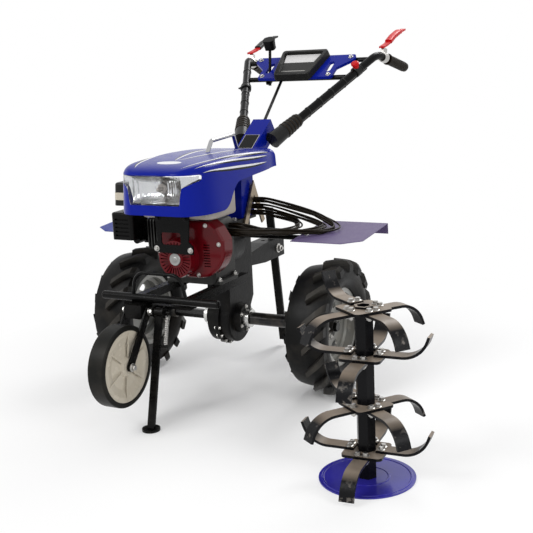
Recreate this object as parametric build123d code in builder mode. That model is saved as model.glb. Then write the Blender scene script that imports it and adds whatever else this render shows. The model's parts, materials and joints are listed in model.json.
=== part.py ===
"""Two-wheel walk-behind power tiller, with one of its tine reels set down beside it.

The machine is laid out from the floor point midway between its wheels: +X is the
machine's left, -Y its front, +Z up. Sizes are millimetres.
"""
import os
from math import atan2, cos, hypot, radians, sin

from build123d import *

# Road wheels: 4.00-10 lugged tyres
TYRE_DIAMETER = 480
TYRE_WIDTH = 156
RIM_SEAT_DIAMETER = 252
RIM_WIDTH = 104
TRACK = 798
LUGS_PER_SIDE = 16
LUG_HEIGHT = 24
LUG_WIDTH = 23

# Axle and gearbox
AXLE_HEX = 32
JOURNAL_DIAMETER = 40
COLLAR_DIAMETER = 66
HUB_DIAMETER = 46
HUB_RIGHT_INNER = 230
CASE_WIDTH = 92
CASE_RADIUS = 90
CASE_REAR = 112
CASE_STEP = 75
BEARING_DIAMETER = 112
BEARING_DEPTH = 24
BELL_DIAMETER = 168

# Engine
CRANK_RISE = 288
CRANK_ABOVE_BASE = 106
ENGINE_REAR = -105
CRANKCASE_LENGTH = 135
CRANKCASE_WIDTH = 190
CRANKCASE_HEIGHT = 218
CYLINDER_FINS = 7
BLOWER_DEPTH = 60
SCROLL_X = 62
SCROLL_RISE = 34
SCROLL_RADIUS = 104
RECOIL_DIAMETER = 138
RECOIL_DEPTH = 41
RECOIL_SLOTS = 28
PLATE = 5
MUFFLER_X = -240
MUFFLER_Y = -246
MUFFLER_WIDTH = 92
MUFFLER_LENGTH = 104
MUFFLER_BOTTOM = 574
MUFFLER_HEIGHT = 96
CLEANER_X = -244
CLEANER_Y = -196
CLEANER_WIDTH = 112
CLEANER_LENGTH = 128
CLEANER_BOTTOM = 688
CLEANER_HEIGHT = 80
TANK_X = 6
TANK_Y = -245
TANK_WIDTH = 290
TANK_LENGTH = 180
TANK_BOTTOM = 664
TANK_HEIGHT = 112

# Engine rails and front end
RAIL_SPAN = 190
RAIL_WIDTH = 30
RAIL_DEPTH = 28
RAIL_REAR = -40
BUMPER_Y = -450
BUMPER_DIAMETER = 27
BUMPER_LENGTH = 450
HOOP_SPAN = 210
HOOP_RISE = 85
HOOP_DIAMETER = 12

# Front transport wheel
FRONT_WHEEL_DIAMETER = 268
FRONT_WHEEL_WIDTH = 62
FRONT_BAND = 17
FRONT_WHEEL_X = -74
FRONT_HUB_Y = -588
FRONT_HUB_HEIGHT = 225
FORK_PIVOT_Y = -472
FORK_PIVOT_HEIGHT = 380
FORK_BAR = 30
FORK_PLATE = 6

# Parking stand
STAND_PIVOT_Y = -455
STAND_PIVOT_HEIGHT = 376
STAND_FOOT_Y = -549
STAND_FOOT_DIAMETER = 60
STAND_WIDTH = 26
STAND_THICKNESS = 10
SPRING_X = 24
SPRING_LENGTH = 110
SPRING_DIAMETER = 16

# Hood
HOOD_FRONT = -440
HOOD_REAR = 142
HOOD_HALF_WIDTH = 172
HOOD_BOTTOM = 692
HOOD_TOP = 860
HOOD_WALL = 3
LIFT_FRONT = -96
LIFT_REAR = 96
LIFT_RISE = 36
LIFT_DIAMETER = 15
LAMP_TOP_HALF = 150
LAMP_WING = 104
LAMP_FOOT = 94
LAMP_TOP = 822
LAMP_BOTTOM = 726
LAMP_DEPTH = 88
ARCH_FRONT = -300
ARCH_TOP = 770

# Handle post and handlebar
POST_WIDTH = 76
POST_WALL = 4
POST_FOOT = 600
HANDLE_PIVOT_Y = 299
HANDLE_PIVOT_HEIGHT = 874
HANDLE_BASE_X = 76
HANDLE_BEND = (300, 794, 1163)
HANDLE_END = (338, 1009, 1105)
HANDLE_TUBE = 32
HANDLE_BEND_RADIUS = 80
CROSS_BAR = 20
UPPER_BAR = 537
LOWER_BAR = 409
CLAMP_DIAMETER = 64
CLAMP_LENGTH = 150
CLAMP_AT = 52
PANEL_THICKNESS = 12
CONSOLE_FOOT = 81
CONSOLE_TOP = 110
CONSOLE_DEPTH = 28
CONSOLE_TRAY = 12
GEAR_X = -137
KNOB_RISE = 98
SHIFT_X = -22
SHIFT_END = -66
LEVER_STAND = 22
LEVER_LENGTH = 246
LEVER_RISE = 68
LEVER_WIDTH = 24
LEVER_THICKNESS = 7
CABLE_DIAMETER = 8
GRIP_DIAMETER = 39
GRIP_LENGTH = 150

# Fenders
FENDER_INNER = 300
FENDER_OUTER = 548
FENDER_FRONT = -75
FENDER_LENGTH = 293
FENDER_HEIGHT = 552
FENDER_RISE_DEG = 4
FENDER_SHEET = 2.5
FENDER_LIP = 36
SUPPORT_STATIONS = (88, 165)
SUPPORT_DIAMETER = 18
SUPPORT_OVERLAP = 40
LOOM_DIAMETER = 9
LOOM_BEND = 26

# Rear hitch and drag bar
HITCH_WIDTH = 70
HITCH_REAR = 402
HITCH_BOTTOM = 395
HITCH_HEIGHT = 75
HITCH_PIN_Y = 290
HITCH_PIN_DIAMETER = 19
DRAG_TOP = (0, 353, 590)
DRAG_FOOT = (0, 432, 24)
DRAG_WIDTH = 32
DRAG_THICKNESS = 10

# Tine reel standing on its end disc
REEL_X = 781
REEL_Y = -613
REEL_DISC_DIAMETER = 276
REEL_DISC_SHEET = 4
REEL_LENGTH = 506
REEL_HEX = 48
REEL_SOCKET = 33
STAR_LEVELS = (78, 217, 358, 492)
STAR_PLATE = 118
STAR_SHEET = 8
TINE_FLAT = 110
TINE_WIDTH = 42
TINE_THICKNESS = 8
TINE_BEND = 75
TINE_SWEEP_DEG = 70
TINE_TIP = 15
ROW_HEADINGS = (4, 54, 4, 54)
ROW_TURNS = {4: (1, 1, 1, -1), 54: (-1, 1, -1, -1)}

RUN = 0.3
SEAT = 0.2

AXLE_HEIGHT = TYRE_DIAMETER / 2
CRANK_HEIGHT = AXLE_HEIGHT + CRANK_RISE
ENGINE_BASE = CRANK_HEIGHT - CRANK_ABOVE_BASE
CRANKCASE_FRONT = ENGINE_REAR - CRANKCASE_LENGTH
BLOWER_FRONT = CRANKCASE_FRONT - BLOWER_DEPTH
RECOIL_FRONT = BLOWER_FRONT - RECOIL_DEPTH
RAIL_BOTTOM = ENGINE_BASE - RAIL_DEPTH
BUMPER_HEIGHT = ENGINE_BASE - 4
COLLAR_START = CASE_WIDTH / 2 + BEARING_DEPTH + 2
COLLAR_END = COLLAR_START + 22
WHEEL_X = TRACK / 2
LEFT, RIGHT = 1, -1


def along(start, end, distance):
    """Point on the line from start towards end, at a distance from start."""
    step = (Vector(*end) - Vector(*start)).normalized()
    return Vector(*start) + step * distance


def rod(points, radius, bend=0):
    """Round bar along a route of points whose corners are rounded to a bend radius."""
    with BuildPart() as bar:
        with BuildLine() as route:
            if bend:
                FilletPolyline(*points, radius=bend)
            else:
                Polyline(*points)
        with BuildSketch(Plane(route.line ^ 0)):
            Circle(radius)
        sweep()
    return bar.part


# Road wheels
def wheel_section(side):
    """Half plane through a wheel's axle: x along the axle, y outwards."""
    return Plane((side * WHEEL_X, 0, AXLE_HEIGHT), x_dir=(1, 0, 0), z_dir=(0, -1, 0))


def wheel_axis(side):
    """Axle line through a road wheel."""
    return Axis((side * WHEEL_X, 0, AXLE_HEIGHT), (1, 0, 0))


def lug(half, angle, side):
    """One slanted tread bar, turned about the axle to its place."""
    centre = side * WHEEL_X
    crown = TYRE_DIAMETER / 2
    rise = LUG_HEIGHT + 22
    inner, outer = 3, TYRE_WIDTH / 2 + 2
    lead, trail = -34, 36
    with BuildPart() as bar:
        with BuildSketch(Plane((centre, 0, AXLE_HEIGHT + crown - rise))):
            with BuildLine():
                Polyline(
                    (half * inner, lead - LUG_WIDTH / 2),
                    (half * outer, trail - LUG_WIDTH / 2),
                    (half * outer, trail + LUG_WIDTH),
                    (half * inner, lead + LUG_WIDTH * 0.75),
                    close=True,
                )
            make_face()
        extrude(amount=rise + 4, taper=4)
    return bar.part.rotate(wheel_axis(side), angle)


def tyre(side):
    """Lugged tyre: a round carcass with two staggered rows of slanted bars."""
    seat = RIM_SEAT_DIAMETER / 2 + SEAT
    crown = TYRE_DIAMETER / 2
    base = crown - LUG_HEIGHT
    rim_half = RIM_WIDTH / 2
    half = TYRE_WIDTH / 2
    bars = []
    for n in range(LUGS_PER_SIDE):
        step = 360 / LUGS_PER_SIDE
        bars.append(lug(LEFT, n * step, side))
        bars.append(lug(RIGHT, (n + 0.5) * step, side))
    with BuildPart() as body:
        with BuildSketch(wheel_section(side)):
            with BuildLine():
                Line((0, seat), (rim_half - 4 - SEAT, seat))
                Line((rim_half - 4 - SEAT, seat), (rim_half - 4 - SEAT, seat + 13.2))
                Line((rim_half - 4 - SEAT, seat + 13.2), (rim_half + 6, seat + 14))
                Spline((rim_half + 6, seat + 14), (half - 3, seat + 46), (half - 12, base - 7))
                ThreePointArc((half - 12, base - 7), (half * 0.42, base - 1), (0, base))
                Line((0, base), (0, seat))
            make_face()
            mirror(about=Plane.YZ)
        revolve(axis=wheel_axis(side))
        add(bars)
        with BuildSketch(wheel_section(side)):
            with BuildLine():
                Polyline(
                    (-half, seat - 20), (-half, crown - 20), (-half + 9, crown - 5), (-half + 28, crown),
                    (half - 28, crown), (half - 9, crown - 5), (half, crown - 20), (half, seat - 20),
                    close=True,
                )
            make_face()
        revolve(axis=wheel_axis(side), mode=Mode.INTERSECT)
    return body.part


def rim(side, inner):
    """Pressed steel rim with its slotted disc, welded to a hub tube that slides on the axle."""
    seat = RIM_SEAT_DIAMETER / 2
    half = RIM_WIDTH / 2
    well = seat - 14
    with BuildPart() as body:
        with BuildSketch(wheel_section(side)):
            with BuildLine():
                Polyline(
                    (0, well), (14, well), (18, seat), (half - 4, seat), (half - 4, seat + 13),
                    (half, seat + 13), (half, seat - 4), (21.5, seat - 4), (17.5, well - 4), (0, well - 4),
                    close=True,
                )
            make_face()
            mirror(about=Plane.YZ)
        revolve(axis=wheel_axis(side))
        disc_plane = Plane((side * (WHEEL_X + 4), 0, AXLE_HEIGHT), x_dir=(0, 1, 0), z_dir=(side, 0, 0))
        with BuildSketch(disc_plane):
            Circle(well - 3)
            with PolarLocations(78, 5):
                SlotOverall(46, 26, rotation=90, mode=Mode.SUBTRACT)
        extrude(amount=6)
        with BuildSketch(disc_plane.offset(-6)):
            Circle(HUB_DIAMETER / 2 + 24)
        extrude(amount=6)
        hub_plane = disc_plane.offset(inner - WHEEL_X - 4)
        with BuildSketch(hub_plane):
            Circle(HUB_DIAMETER / 2)
        extrude(amount=WHEEL_X + 26 - inner)
        with BuildSketch(hub_plane):
            RegularPolygon(AXLE_HEX / 2 + SEAT, 6, major_radius=False)
        extrude(amount=WHEEL_X + 26 - inner, mode=Mode.SUBTRACT)
    return body.part


def half_axle(side):
    """Bright half axle: round journal in the case, turned collar, six-sided bar outboard."""
    with BuildPart() as body:
        with BuildSketch(Plane((side * 1, 0, AXLE_HEIGHT), x_dir=(0, 1, 0), z_dir=(side, 0, 0))):
            Circle(JOURNAL_DIAMETER / 2)
        extrude(amount=COLLAR_START - 1)
        with BuildSketch(Plane((side * COLLAR_START, 0, AXLE_HEIGHT), x_dir=(0, 1, 0), z_dir=(side, 0, 0))):
            Circle(COLLAR_DIAMETER / 2)
        extrude(amount=COLLAR_END - COLLAR_START)
        with BuildSketch(Plane((side * COLLAR_END, 0, AXLE_HEIGHT), x_dir=(0, 1, 0), z_dir=(side, 0, 0))):
            RegularPolygon(AXLE_HEX / 2, 6, major_radius=False)
        extrude(amount=WHEEL_X + 38 - COLLAR_END)
    return body.part


# Gearbox
with BuildPart() as gearbox_case:
    with BuildSketch(Plane((-CASE_WIDTH / 2, 0, AXLE_HEIGHT), x_dir=(0, 1, 0), z_dir=(1, 0, 0))):
        with BuildLine():
            Polyline(
                (-CASE_RADIUS * 0.93, 20), (-CASE_STEP, 110), (-CASE_STEP, 190), (-58, 235),
                (-58, POST_FOOT - AXLE_HEIGHT), (CASE_REAR, POST_FOOT - AXLE_HEIGHT),
                (CASE_REAR, 60), (CASE_RADIUS * 0.93, 20), close=True,
            )
        make_face()
        Circle(CASE_RADIUS)
    extrude(amount=CASE_WIDTH)
    fillet(gearbox_case.faces().filter_by(Axis.X).edges(), 6)
    with BuildSketch(Plane((-7, 0, AXLE_HEIGHT), x_dir=(0, 1, 0), z_dir=(1, 0, 0))):
        Circle(CASE_RADIUS + 9)
    extrude(amount=14)
    with BuildSketch(Plane.XZ):
        with Locations((0, CRANK_HEIGHT)):
            Circle(BELL_DIAMETER / 2)
    extrude(amount=-ENGINE_REAR)
    with BuildSketch(Plane.XY.offset(POST_FOOT)):
        with Locations((0, 60)):
            RectangleRounded(CASE_WIDTH, 220, 16)
    extrude(amount=-10)
    for side in (LEFT, RIGHT):
        with BuildSketch(Plane((side * CASE_WIDTH / 2, 0, AXLE_HEIGHT), x_dir=(0, 1, 0), z_dir=(side, 0, 0))):
            Circle(BEARING_DIAMETER / 2)
        extrude(amount=BEARING_DEPTH, taper=12)
    with BuildSketch(Plane((-CASE_WIDTH, 0, AXLE_HEIGHT), x_dir=(0, 1, 0), z_dir=(1, 0, 0))):
        Circle(JOURNAL_DIAMETER / 2 + RUN)
    extrude(amount=2 * CASE_WIDTH, mode=Mode.SUBTRACT)

# Engine
CYLINDER_Y = ENGINE_REAR - CRANKCASE_LENGTH / 2
CYLINDER_HEIGHT = CRANK_HEIGHT + 58
CYLINDER_PLANE = Plane((-CRANKCASE_WIDTH / 2, CYLINDER_Y, CYLINDER_HEIGHT), x_dir=(0, 1, 0), z_dir=(-1, 0, 0))
HEAD_X = -CRANKCASE_WIDTH / 2 - 92

with BuildPart() as engine_block:
    with BuildSketch(Plane.XZ.offset(-ENGINE_REAR)):
        with Locations((0, ENGINE_BASE + CRANKCASE_HEIGHT / 2)):
            RectangleRounded(CRANKCASE_WIDTH, CRANKCASE_HEIGHT, 24)
    extrude(amount=CRANKCASE_LENGTH)
    with BuildSketch(Plane.XY.offset(ENGINE_BASE)):
        with Locations((0, CYLINDER_Y)):
            RectangleRounded(RAIL_SPAN + RAIL_WIDTH, CRANKCASE_LENGTH - 6, 10)
    extrude(amount=12)
    with BuildSketch(CYLINDER_PLANE):
        RectangleRounded(78, 84, 16)
    extrude(amount=92)
    for n in range(CYLINDER_FINS):
        with BuildSketch(CYLINDER_PLANE.offset(10 + 12 * n)):
            RectangleRounded(114, 110, 10)
        extrude(amount=4)

SCROLL_CENTRE = CRANK_HEIGHT + SCROLL_RISE
with BuildPart() as blower_housing:
    with BuildSketch(Plane.XZ.offset(-CRANKCASE_FRONT)):
        with BuildLine():
            Polyline(
                (-98, CRANK_HEIGHT + 8), (-98, CRANK_HEIGHT + 125), (112, CRANK_HEIGHT + 125),
                (140, CRANK_HEIGHT + 104), (SCROLL_X + SCROLL_RADIUS, CRANK_HEIGHT + 62),
                (SCROLL_X + SCROLL_RADIUS, CRANK_HEIGHT + SCROLL_RISE),
            )
            ThreePointArc(
                (SCROLL_X + SCROLL_RADIUS, CRANK_HEIGHT + SCROLL_RISE),
                (SCROLL_X + SCROLL_RADIUS * cos(radians(45)),
                 SCROLL_CENTRE - SCROLL_RADIUS * sin(radians(45))),
                (SCROLL_X, SCROLL_CENTRE - SCROLL_RADIUS),
            )
            Line((SCROLL_X, SCROLL_CENTRE - SCROLL_RADIUS), (-20, CRANK_HEIGHT - 70))
            ThreePointArc(
                (-20, CRANK_HEIGHT - 70),
                (-20 - 78 * cos(radians(45)), CRANK_HEIGHT + 8 - 78 * sin(radians(45))),
                (-98, CRANK_HEIGHT + 8),
            )
        make_face()
    extrude(amount=BLOWER_DEPTH)
    fillet(blower_housing.faces().sort_by(Axis.Y)[0].edges(), 9)
    with BuildSketch(Plane.XZ.offset(-BLOWER_FRONT)):
        with Locations((100, CRANK_HEIGHT + 10)):
            with GridLocations(1, 9, 1, 9):
                SlotOverall(26, 4)
    extrude(amount=-14, mode=Mode.SUBTRACT)

with BuildPart() as recoil_cover:
    with BuildSketch(Plane.XZ.offset(-BLOWER_FRONT)):
        with Locations((0, CRANK_HEIGHT)):
            Circle(RECOIL_DIAMETER / 2)
    extrude(amount=RECOIL_DEPTH, taper=8)
    with BuildSketch(Plane.XZ.offset(-RECOIL_FRONT)):
        with Locations((0, CRANK_HEIGHT)):
            with PolarLocations(44, RECOIL_SLOTS):
                SlotOverall(30, 4)
    extrude(amount=-10, mode=Mode.SUBTRACT)

# Muffler and air cleaner stand outboard of the cylinder head, on the machine's right
with BuildPart() as muffler:
    with BuildSketch(Plane.XY.offset(MUFFLER_BOTTOM)):
        with Locations((MUFFLER_X, MUFFLER_Y)):
            RectangleRounded(MUFFLER_WIDTH, MUFFLER_LENGTH, 14)
    extrude(amount=MUFFLER_HEIGHT)
    fillet(muffler.faces().sort_by(Axis.Z)[-1].edges(), 8)
    with BuildSketch(Plane.XZ.offset(MUFFLER_LENGTH / 2 - MUFFLER_Y)):
        with Locations((MUFFLER_X, MUFFLER_BOTTOM + MUFFLER_HEIGHT / 2 - 4)):
            with GridLocations(1, 14, 1, 5):
                SlotOverall(58, 6)
    extrude(amount=-6, mode=Mode.SUBTRACT)
    port_height = CYLINDER_HEIGHT - 20
    with BuildSketch(Plane((HEAD_X - SEAT, CYLINDER_Y, port_height), x_dir=(0, 1, 0), z_dir=(-1, 0, 0))):
        RectangleRounded(52, 40, 8)
    extrude(amount=34)
    with BuildSketch(Plane((HEAD_X - 32, CYLINDER_Y + 20, port_height), x_dir=(1, 0, 0), z_dir=(0, -1, 0))):
        Circle(14)
    extrude(amount=CYLINDER_Y + 20 - MUFFLER_Y)

with BuildPart() as air_cleaner:
    with BuildSketch(Plane.XY.offset(CLEANER_BOTTOM)):
        with Locations((CLEANER_X, CLEANER_Y)):
            RectangleRounded(CLEANER_WIDTH, CLEANER_LENGTH, 22)
    extrude(amount=CLEANER_HEIGHT, taper=4)
    fillet(air_cleaner.faces().sort_by(Axis.Z)[-1].edges(), 9)
    with BuildSketch(Plane.XY.offset(CYLINDER_HEIGHT + 55 + SEAT)):
        with Locations((HEAD_X + 5, CYLINDER_Y)):
            RectangleRounded(44, 36, 8)
    extrude(amount=CLEANER_BOTTOM - CYLINDER_HEIGHT - 55 + 4)

with BuildPart() as fuel_tank:
    with BuildSketch(Plane.XY.offset(TANK_BOTTOM)):
        with Locations((TANK_X, TANK_Y)):
            RectangleRounded(TANK_WIDTH, TANK_LENGTH, 34)
    extrude(amount=TANK_HEIGHT)
    fillet(fuel_tank.faces().sort_by(Axis.Z)[-1].edges(), 22)
    fillet(fuel_tank.faces().sort_by(Axis.Z)[0].edges(), 12)
    with BuildSketch(Plane.XY.offset(ENGINE_BASE + CRANKCASE_HEIGHT)):
        with Locations((0, CYLINDER_Y - 28)):
            with GridLocations(110, 54, 2, 2):
                Rectangle(30, 22)
    extrude(amount=TANK_BOTTOM - ENGINE_BASE - CRANKCASE_HEIGHT + 13)


# Hood: lofted over cross-sections from nose to tail, hollow underneath
def hood_form(inset):
    """Solid under the hood's skin, drawn in by an inset all round and open at the tail."""
    wide = HOOD_HALF_WIDTH - inset
    floor = HOOD_BOTTOM - inset * 2
    body_start = HOOD_FRONT + 135
    body = (HOOD_REAR - body_start) / 5
    stations = (
        (HOOD_FRONT + inset, 0.56, 34), (HOOD_FRONT + 18 + inset, 0.77, 22),
        (HOOD_FRONT + 62 + inset, 0.94, 12),
        (body_start, 1.0, 6), (body_start + body, 1.0, 2), (body_start + 2 * body, 0.99, 0),
        (body_start + 3 * body, 0.97, 1), (body_start + 4 * body, 0.94, 5), (HOOD_REAR + inset, 0.9, 12),
    )
    with BuildPart() as form:
        for y, share, drop in stations:
            half = wide * share
            top = HOOD_TOP - drop - inset
            with BuildSketch(Plane.XZ.offset(-y)) as section:
                with BuildLine():
                    shoulder = half * 0.93
                    Polyline((-half, floor), (half, floor), (shoulder, top), (-shoulder, top), close=True)
                make_face()
                fillet(section.vertices().group_by(Axis.Y)[-1], 30 - inset)
        loft()
    return form.part


hood_skin = hood_form(0)
hood_core = hood_form(HOOD_WALL)
hood_liner = hood_form(HOOD_WALL + RUN)


def lamp_prism(inset):
    """Headlamp outline with its swept upper wings, carried back through the nose."""
    with BuildPart() as prism:
        with BuildSketch(Plane.XZ.offset(-HOOD_FRONT - LAMP_DEPTH)) as outline:
            with BuildLine():
                Polyline(
                    (-LAMP_FOOT + inset, LAMP_BOTTOM + inset), (LAMP_FOOT - inset, LAMP_BOTTOM + inset),
                    (LAMP_WING - inset, LAMP_TOP - 40), (LAMP_TOP_HALF - inset, LAMP_TOP - 18 + inset),
                    (LAMP_TOP_HALF - inset, LAMP_TOP - inset), (-LAMP_TOP_HALF + inset, LAMP_TOP - inset),
                    (-LAMP_TOP_HALF + inset, LAMP_TOP - 18 + inset), (-LAMP_WING + inset, LAMP_TOP - 40),
                    close=True,
                )
            make_face()
            fillet(outline.vertices(), 5)
        extrude(amount=LAMP_DEPTH + 20)
    return prism.part


with BuildPart() as hood:
    add(hood_skin)
    add(hood_core, mode=Mode.SUBTRACT)
    add(lamp_prism(0), mode=Mode.SUBTRACT)
    with BuildSketch(Plane.YZ.offset(-HOOD_HALF_WIDTH - 20)):
        with BuildLine():
            Spline(
                (ARCH_FRONT, HOOD_BOTTOM - 2), (ARCH_FRONT + 48, HOOD_BOTTOM + 14),
                (ARCH_FRONT + 78, HOOD_BOTTOM + 44), (ARCH_FRONT + 108, ARCH_TOP - 8),
                (ARCH_FRONT + 160, ARCH_TOP + 5), tangents=((1, 0.1), (1, 0.05)),
            )
            Polyline(
                (ARCH_FRONT + 160, ARCH_TOP + 5), (HOOD_REAR + 20, ARCH_TOP + 16),
                (HOOD_REAR + 20, HOOD_BOTTOM - 20), (ARCH_FRONT, HOOD_BOTTOM - 20),
                (ARCH_FRONT, HOOD_BOTTOM - 2),
            )
        make_face()
    extrude(amount=2 * HOOD_HALF_WIDTH + 40, mode=Mode.SUBTRACT)

with BuildPart() as headlamp_lens:
    add(hood_skin)
    add(hood_core, mode=Mode.SUBTRACT)
    add(lamp_prism(RUN), mode=Mode.INTERSECT)

FLANGE_TOP = LAMP_BOTTOM - 6
with BuildPart() as support_plate:
    add(hood_liner)
    with BuildSketch(Plane.XY.offset(FLANGE_TOP - PLATE)):
        with Locations((0, (RECOIL_FRONT + HOOD_FRONT) / 2 - PLATE)):
            Rectangle(140, RECOIL_FRONT - HOOD_FRONT)
    extrude(amount=PLATE, mode=Mode.INTERSECT)
    with BuildSketch(Plane.XZ.offset(-RECOIL_FRONT)):
        with BuildLine():
            Polyline(
                (-76, CRANK_HEIGHT + 24), (76, CRANK_HEIGHT + 20), (76, CRANK_HEIGHT + 48),
                (60, CRANK_HEIGHT + 62), (66, CRANK_HEIGHT + 125), (70, FLANGE_TOP), (-70, FLANGE_TOP),
                (-66, CRANK_HEIGHT + 125),
                (-62, CRANK_HEIGHT + 62), (-76, CRANK_HEIGHT + 48), close=True,
            )
        make_face()
        with Locations((-8, CRANK_HEIGHT + 71)):
            RectangleRounded(76, 42, 8, mode=Mode.SUBTRACT)
    extrude(amount=PLATE)

with BuildPart() as headlamp_reflector:
    add(hood_liner)
    with BuildSketch(Plane.XZ.offset(-HOOD_FRONT - LAMP_DEPTH + 18)) as shell_outline:
        with BuildLine():
            Polyline(
                (-LAMP_FOOT + 8, FLANGE_TOP), (LAMP_FOOT - 8, FLANGE_TOP), (LAMP_TOP_HALF - 30, LAMP_TOP - 2),
                (-LAMP_TOP_HALF + 30, LAMP_TOP - 2), close=True,
            )
        make_face()
    extrude(amount=LAMP_DEPTH + 20, mode=Mode.INTERSECT)
    with BuildSketch(Plane.XZ.offset(-HOOD_FRONT + 10)):
        with Locations((0, (LAMP_TOP + LAMP_BOTTOM) / 2)):
            Circle(46)
    extrude(amount=-60, taper=22, mode=Mode.SUBTRACT)

# Rails under the engine with the bracket for stand and fork, and the bumper
BOX_TOP = BUMPER_HEIGHT - BUMPER_DIAMETER / 2 - SEAT
BOX_BOTTOM = FORK_PIVOT_HEIGHT - 22
BOX_HALF = FRONT_WHEEL_WIDTH / 2 + 1
EAR_INNER = STAND_WIDTH / 2 + 4
with BuildPart() as front_frame:
    rail_front = BUMPER_Y + BUMPER_DIAMETER / 2 + SEAT
    with BuildSketch(Plane.XZ.offset(-RAIL_REAR)):
        with Locations((0, RAIL_BOTTOM + RAIL_DEPTH / 2)):
            with GridLocations(RAIL_SPAN, 1, 2, 1):
                Rectangle(RAIL_WIDTH, RAIL_DEPTH)
                Rectangle(RAIL_WIDTH - 6, RAIL_DEPTH - 6, mode=Mode.SUBTRACT)
    extrude(amount=RAIL_REAR - rail_front)
    with BuildSketch(Plane.XY.offset(RAIL_BOTTOM)):
        with Locations((0, (ENGINE_REAR - CASE_STEP) / 2)):
            Rectangle(RAIL_SPAN - RAIL_WIDTH + 4, -ENGINE_REAR - CASE_STEP)
    extrude(amount=RAIL_DEPTH)
    with BuildSketch(Plane.XY.offset(RAIL_BOTTOM)):
        with Locations((0, BUMPER_Y + 42)):
            Rectangle(RAIL_SPAN + RAIL_WIDTH, 64)
    extrude(amount=-8)
    with BuildSketch(Plane.YZ.offset(FRONT_WHEEL_X - BOX_HALF)):
        with BuildLine():
            Polyline(
                (FORK_PIVOT_Y - 26, BOX_BOTTOM), (BUMPER_Y + 30, BOX_BOTTOM),
                (BUMPER_Y + 30, RAIL_BOTTOM - 4), (BUMPER_Y + 13, RAIL_BOTTOM - 4),
                (BUMPER_Y + 13, BOX_TOP), (FORK_PIVOT_Y - 26, BOX_TOP), close=True,
            )
        make_face()
        with Locations((FORK_PIVOT_Y, FORK_PIVOT_HEIGHT)):
            Circle(8 + RUN, mode=Mode.SUBTRACT)
    extrude(amount=2 * BOX_HALF)
    for ear_x in (EAR_INNER, -EAR_INNER - 6):
        with BuildSketch(Plane.YZ.offset(ear_x)):
            with Locations((STAND_PIVOT_Y, STAND_PIVOT_HEIGHT)):
                Circle(20)
            with BuildLine():
                Polyline(
                    (STAND_PIVOT_Y - 14, STAND_PIVOT_HEIGHT - 12), (BUMPER_Y + 40, STAND_PIVOT_HEIGHT),
                    (BUMPER_Y + 40, RAIL_BOTTOM - 4), (STAND_PIVOT_Y - 14, RAIL_BOTTOM - 4), close=True,
                )
            make_face()
            with Locations((STAND_PIVOT_Y, STAND_PIVOT_HEIGHT)):
                Circle(7 + RUN, mode=Mode.SUBTRACT)
        extrude(amount=6)

BUMPER_CENTRE = (BUMPER_Y, BUMPER_HEIGHT)
with BuildPart() as front_bumper:
    half = HOOP_SPAN / 2
    with BuildLine() as hoop_route:
        FilletPolyline(
            (-half, BUMPER_Y, BUMPER_HEIGHT), (-half + 18, BUMPER_Y, BUMPER_HEIGHT + HOOP_RISE),
            (half - 18, BUMPER_Y, BUMPER_HEIGHT + HOOP_RISE), (half, BUMPER_Y, BUMPER_HEIGHT), radius=44,
        )
    with BuildSketch(Plane(hoop_route.line ^ 0)):
        Circle(HOOP_DIAMETER / 2)
    sweep()
    with BuildSketch(Plane.YZ.offset(-BUMPER_LENGTH / 2)):
        with Locations(BUMPER_CENTRE):
            Circle(BUMPER_DIAMETER / 2)
    extrude(amount=BUMPER_LENGTH)
    fillet(front_bumper.faces().filter_by(Axis.X).edges(), 5)

# Front transport wheel in its swinging fork
FORK_INNER = FRONT_WHEEL_WIDTH / 2 + 6
with BuildPart() as front_fork:
    for arm_x in (FRONT_WHEEL_X + FORK_INNER, FRONT_WHEEL_X - FORK_INNER - FORK_PLATE):
        with BuildSketch(Plane.YZ.offset(arm_x)):
            with BuildLine():
                Line((FORK_PIVOT_Y, FORK_PIVOT_HEIGHT), (FRONT_HUB_Y, FRONT_HUB_HEIGHT))
            trace(line_width=FORK_BAR)
            with Locations((FORK_PIVOT_Y, FORK_PIVOT_HEIGHT), (FRONT_HUB_Y, FRONT_HUB_HEIGHT)):
                Circle(FORK_BAR / 2)
        extrude(amount=FORK_PLATE)
    with BuildSketch(Plane.YZ.offset(FRONT_WHEEL_X - FORK_INNER - FORK_PLATE - 4)):
        with Locations((FORK_PIVOT_Y, FORK_PIVOT_HEIGHT)):
            Circle(8)
        with Locations((FRONT_HUB_Y, FRONT_HUB_HEIGHT)):
            Circle(10)
    extrude(amount=2 * (FORK_INNER + FORK_PLATE + 4))

FRONT_SECTION = Plane((FRONT_WHEEL_X, FRONT_HUB_Y, FRONT_HUB_HEIGHT), x_dir=(1, 0, 0), z_dir=(0, -1, 0))
FRONT_AXIS = Axis((FRONT_WHEEL_X, FRONT_HUB_Y, FRONT_HUB_HEIGHT), (1, 0, 0))
FRONT_RADIUS = FRONT_WHEEL_DIAMETER / 2
with BuildPart() as front_tyre:
    half = FRONT_WHEEL_WIDTH / 2
    with BuildSketch(FRONT_SECTION):
        with BuildLine():
            Polyline(
                (0, FRONT_RADIUS), (0, FRONT_RADIUS - FRONT_BAND), (half - 3, FRONT_RADIUS - FRONT_BAND),
                (half, FRONT_RADIUS - FRONT_BAND + 3), (half, FRONT_RADIUS - 7),
            )
            ThreePointArc((half, FRONT_RADIUS - 7), (half - 2, FRONT_RADIUS - 2), (half - 7, FRONT_RADIUS))
            Line((half - 7, FRONT_RADIUS), (0, FRONT_RADIUS))
        make_face()
        mirror(about=Plane.YZ)
    revolve(axis=FRONT_AXIS)

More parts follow.
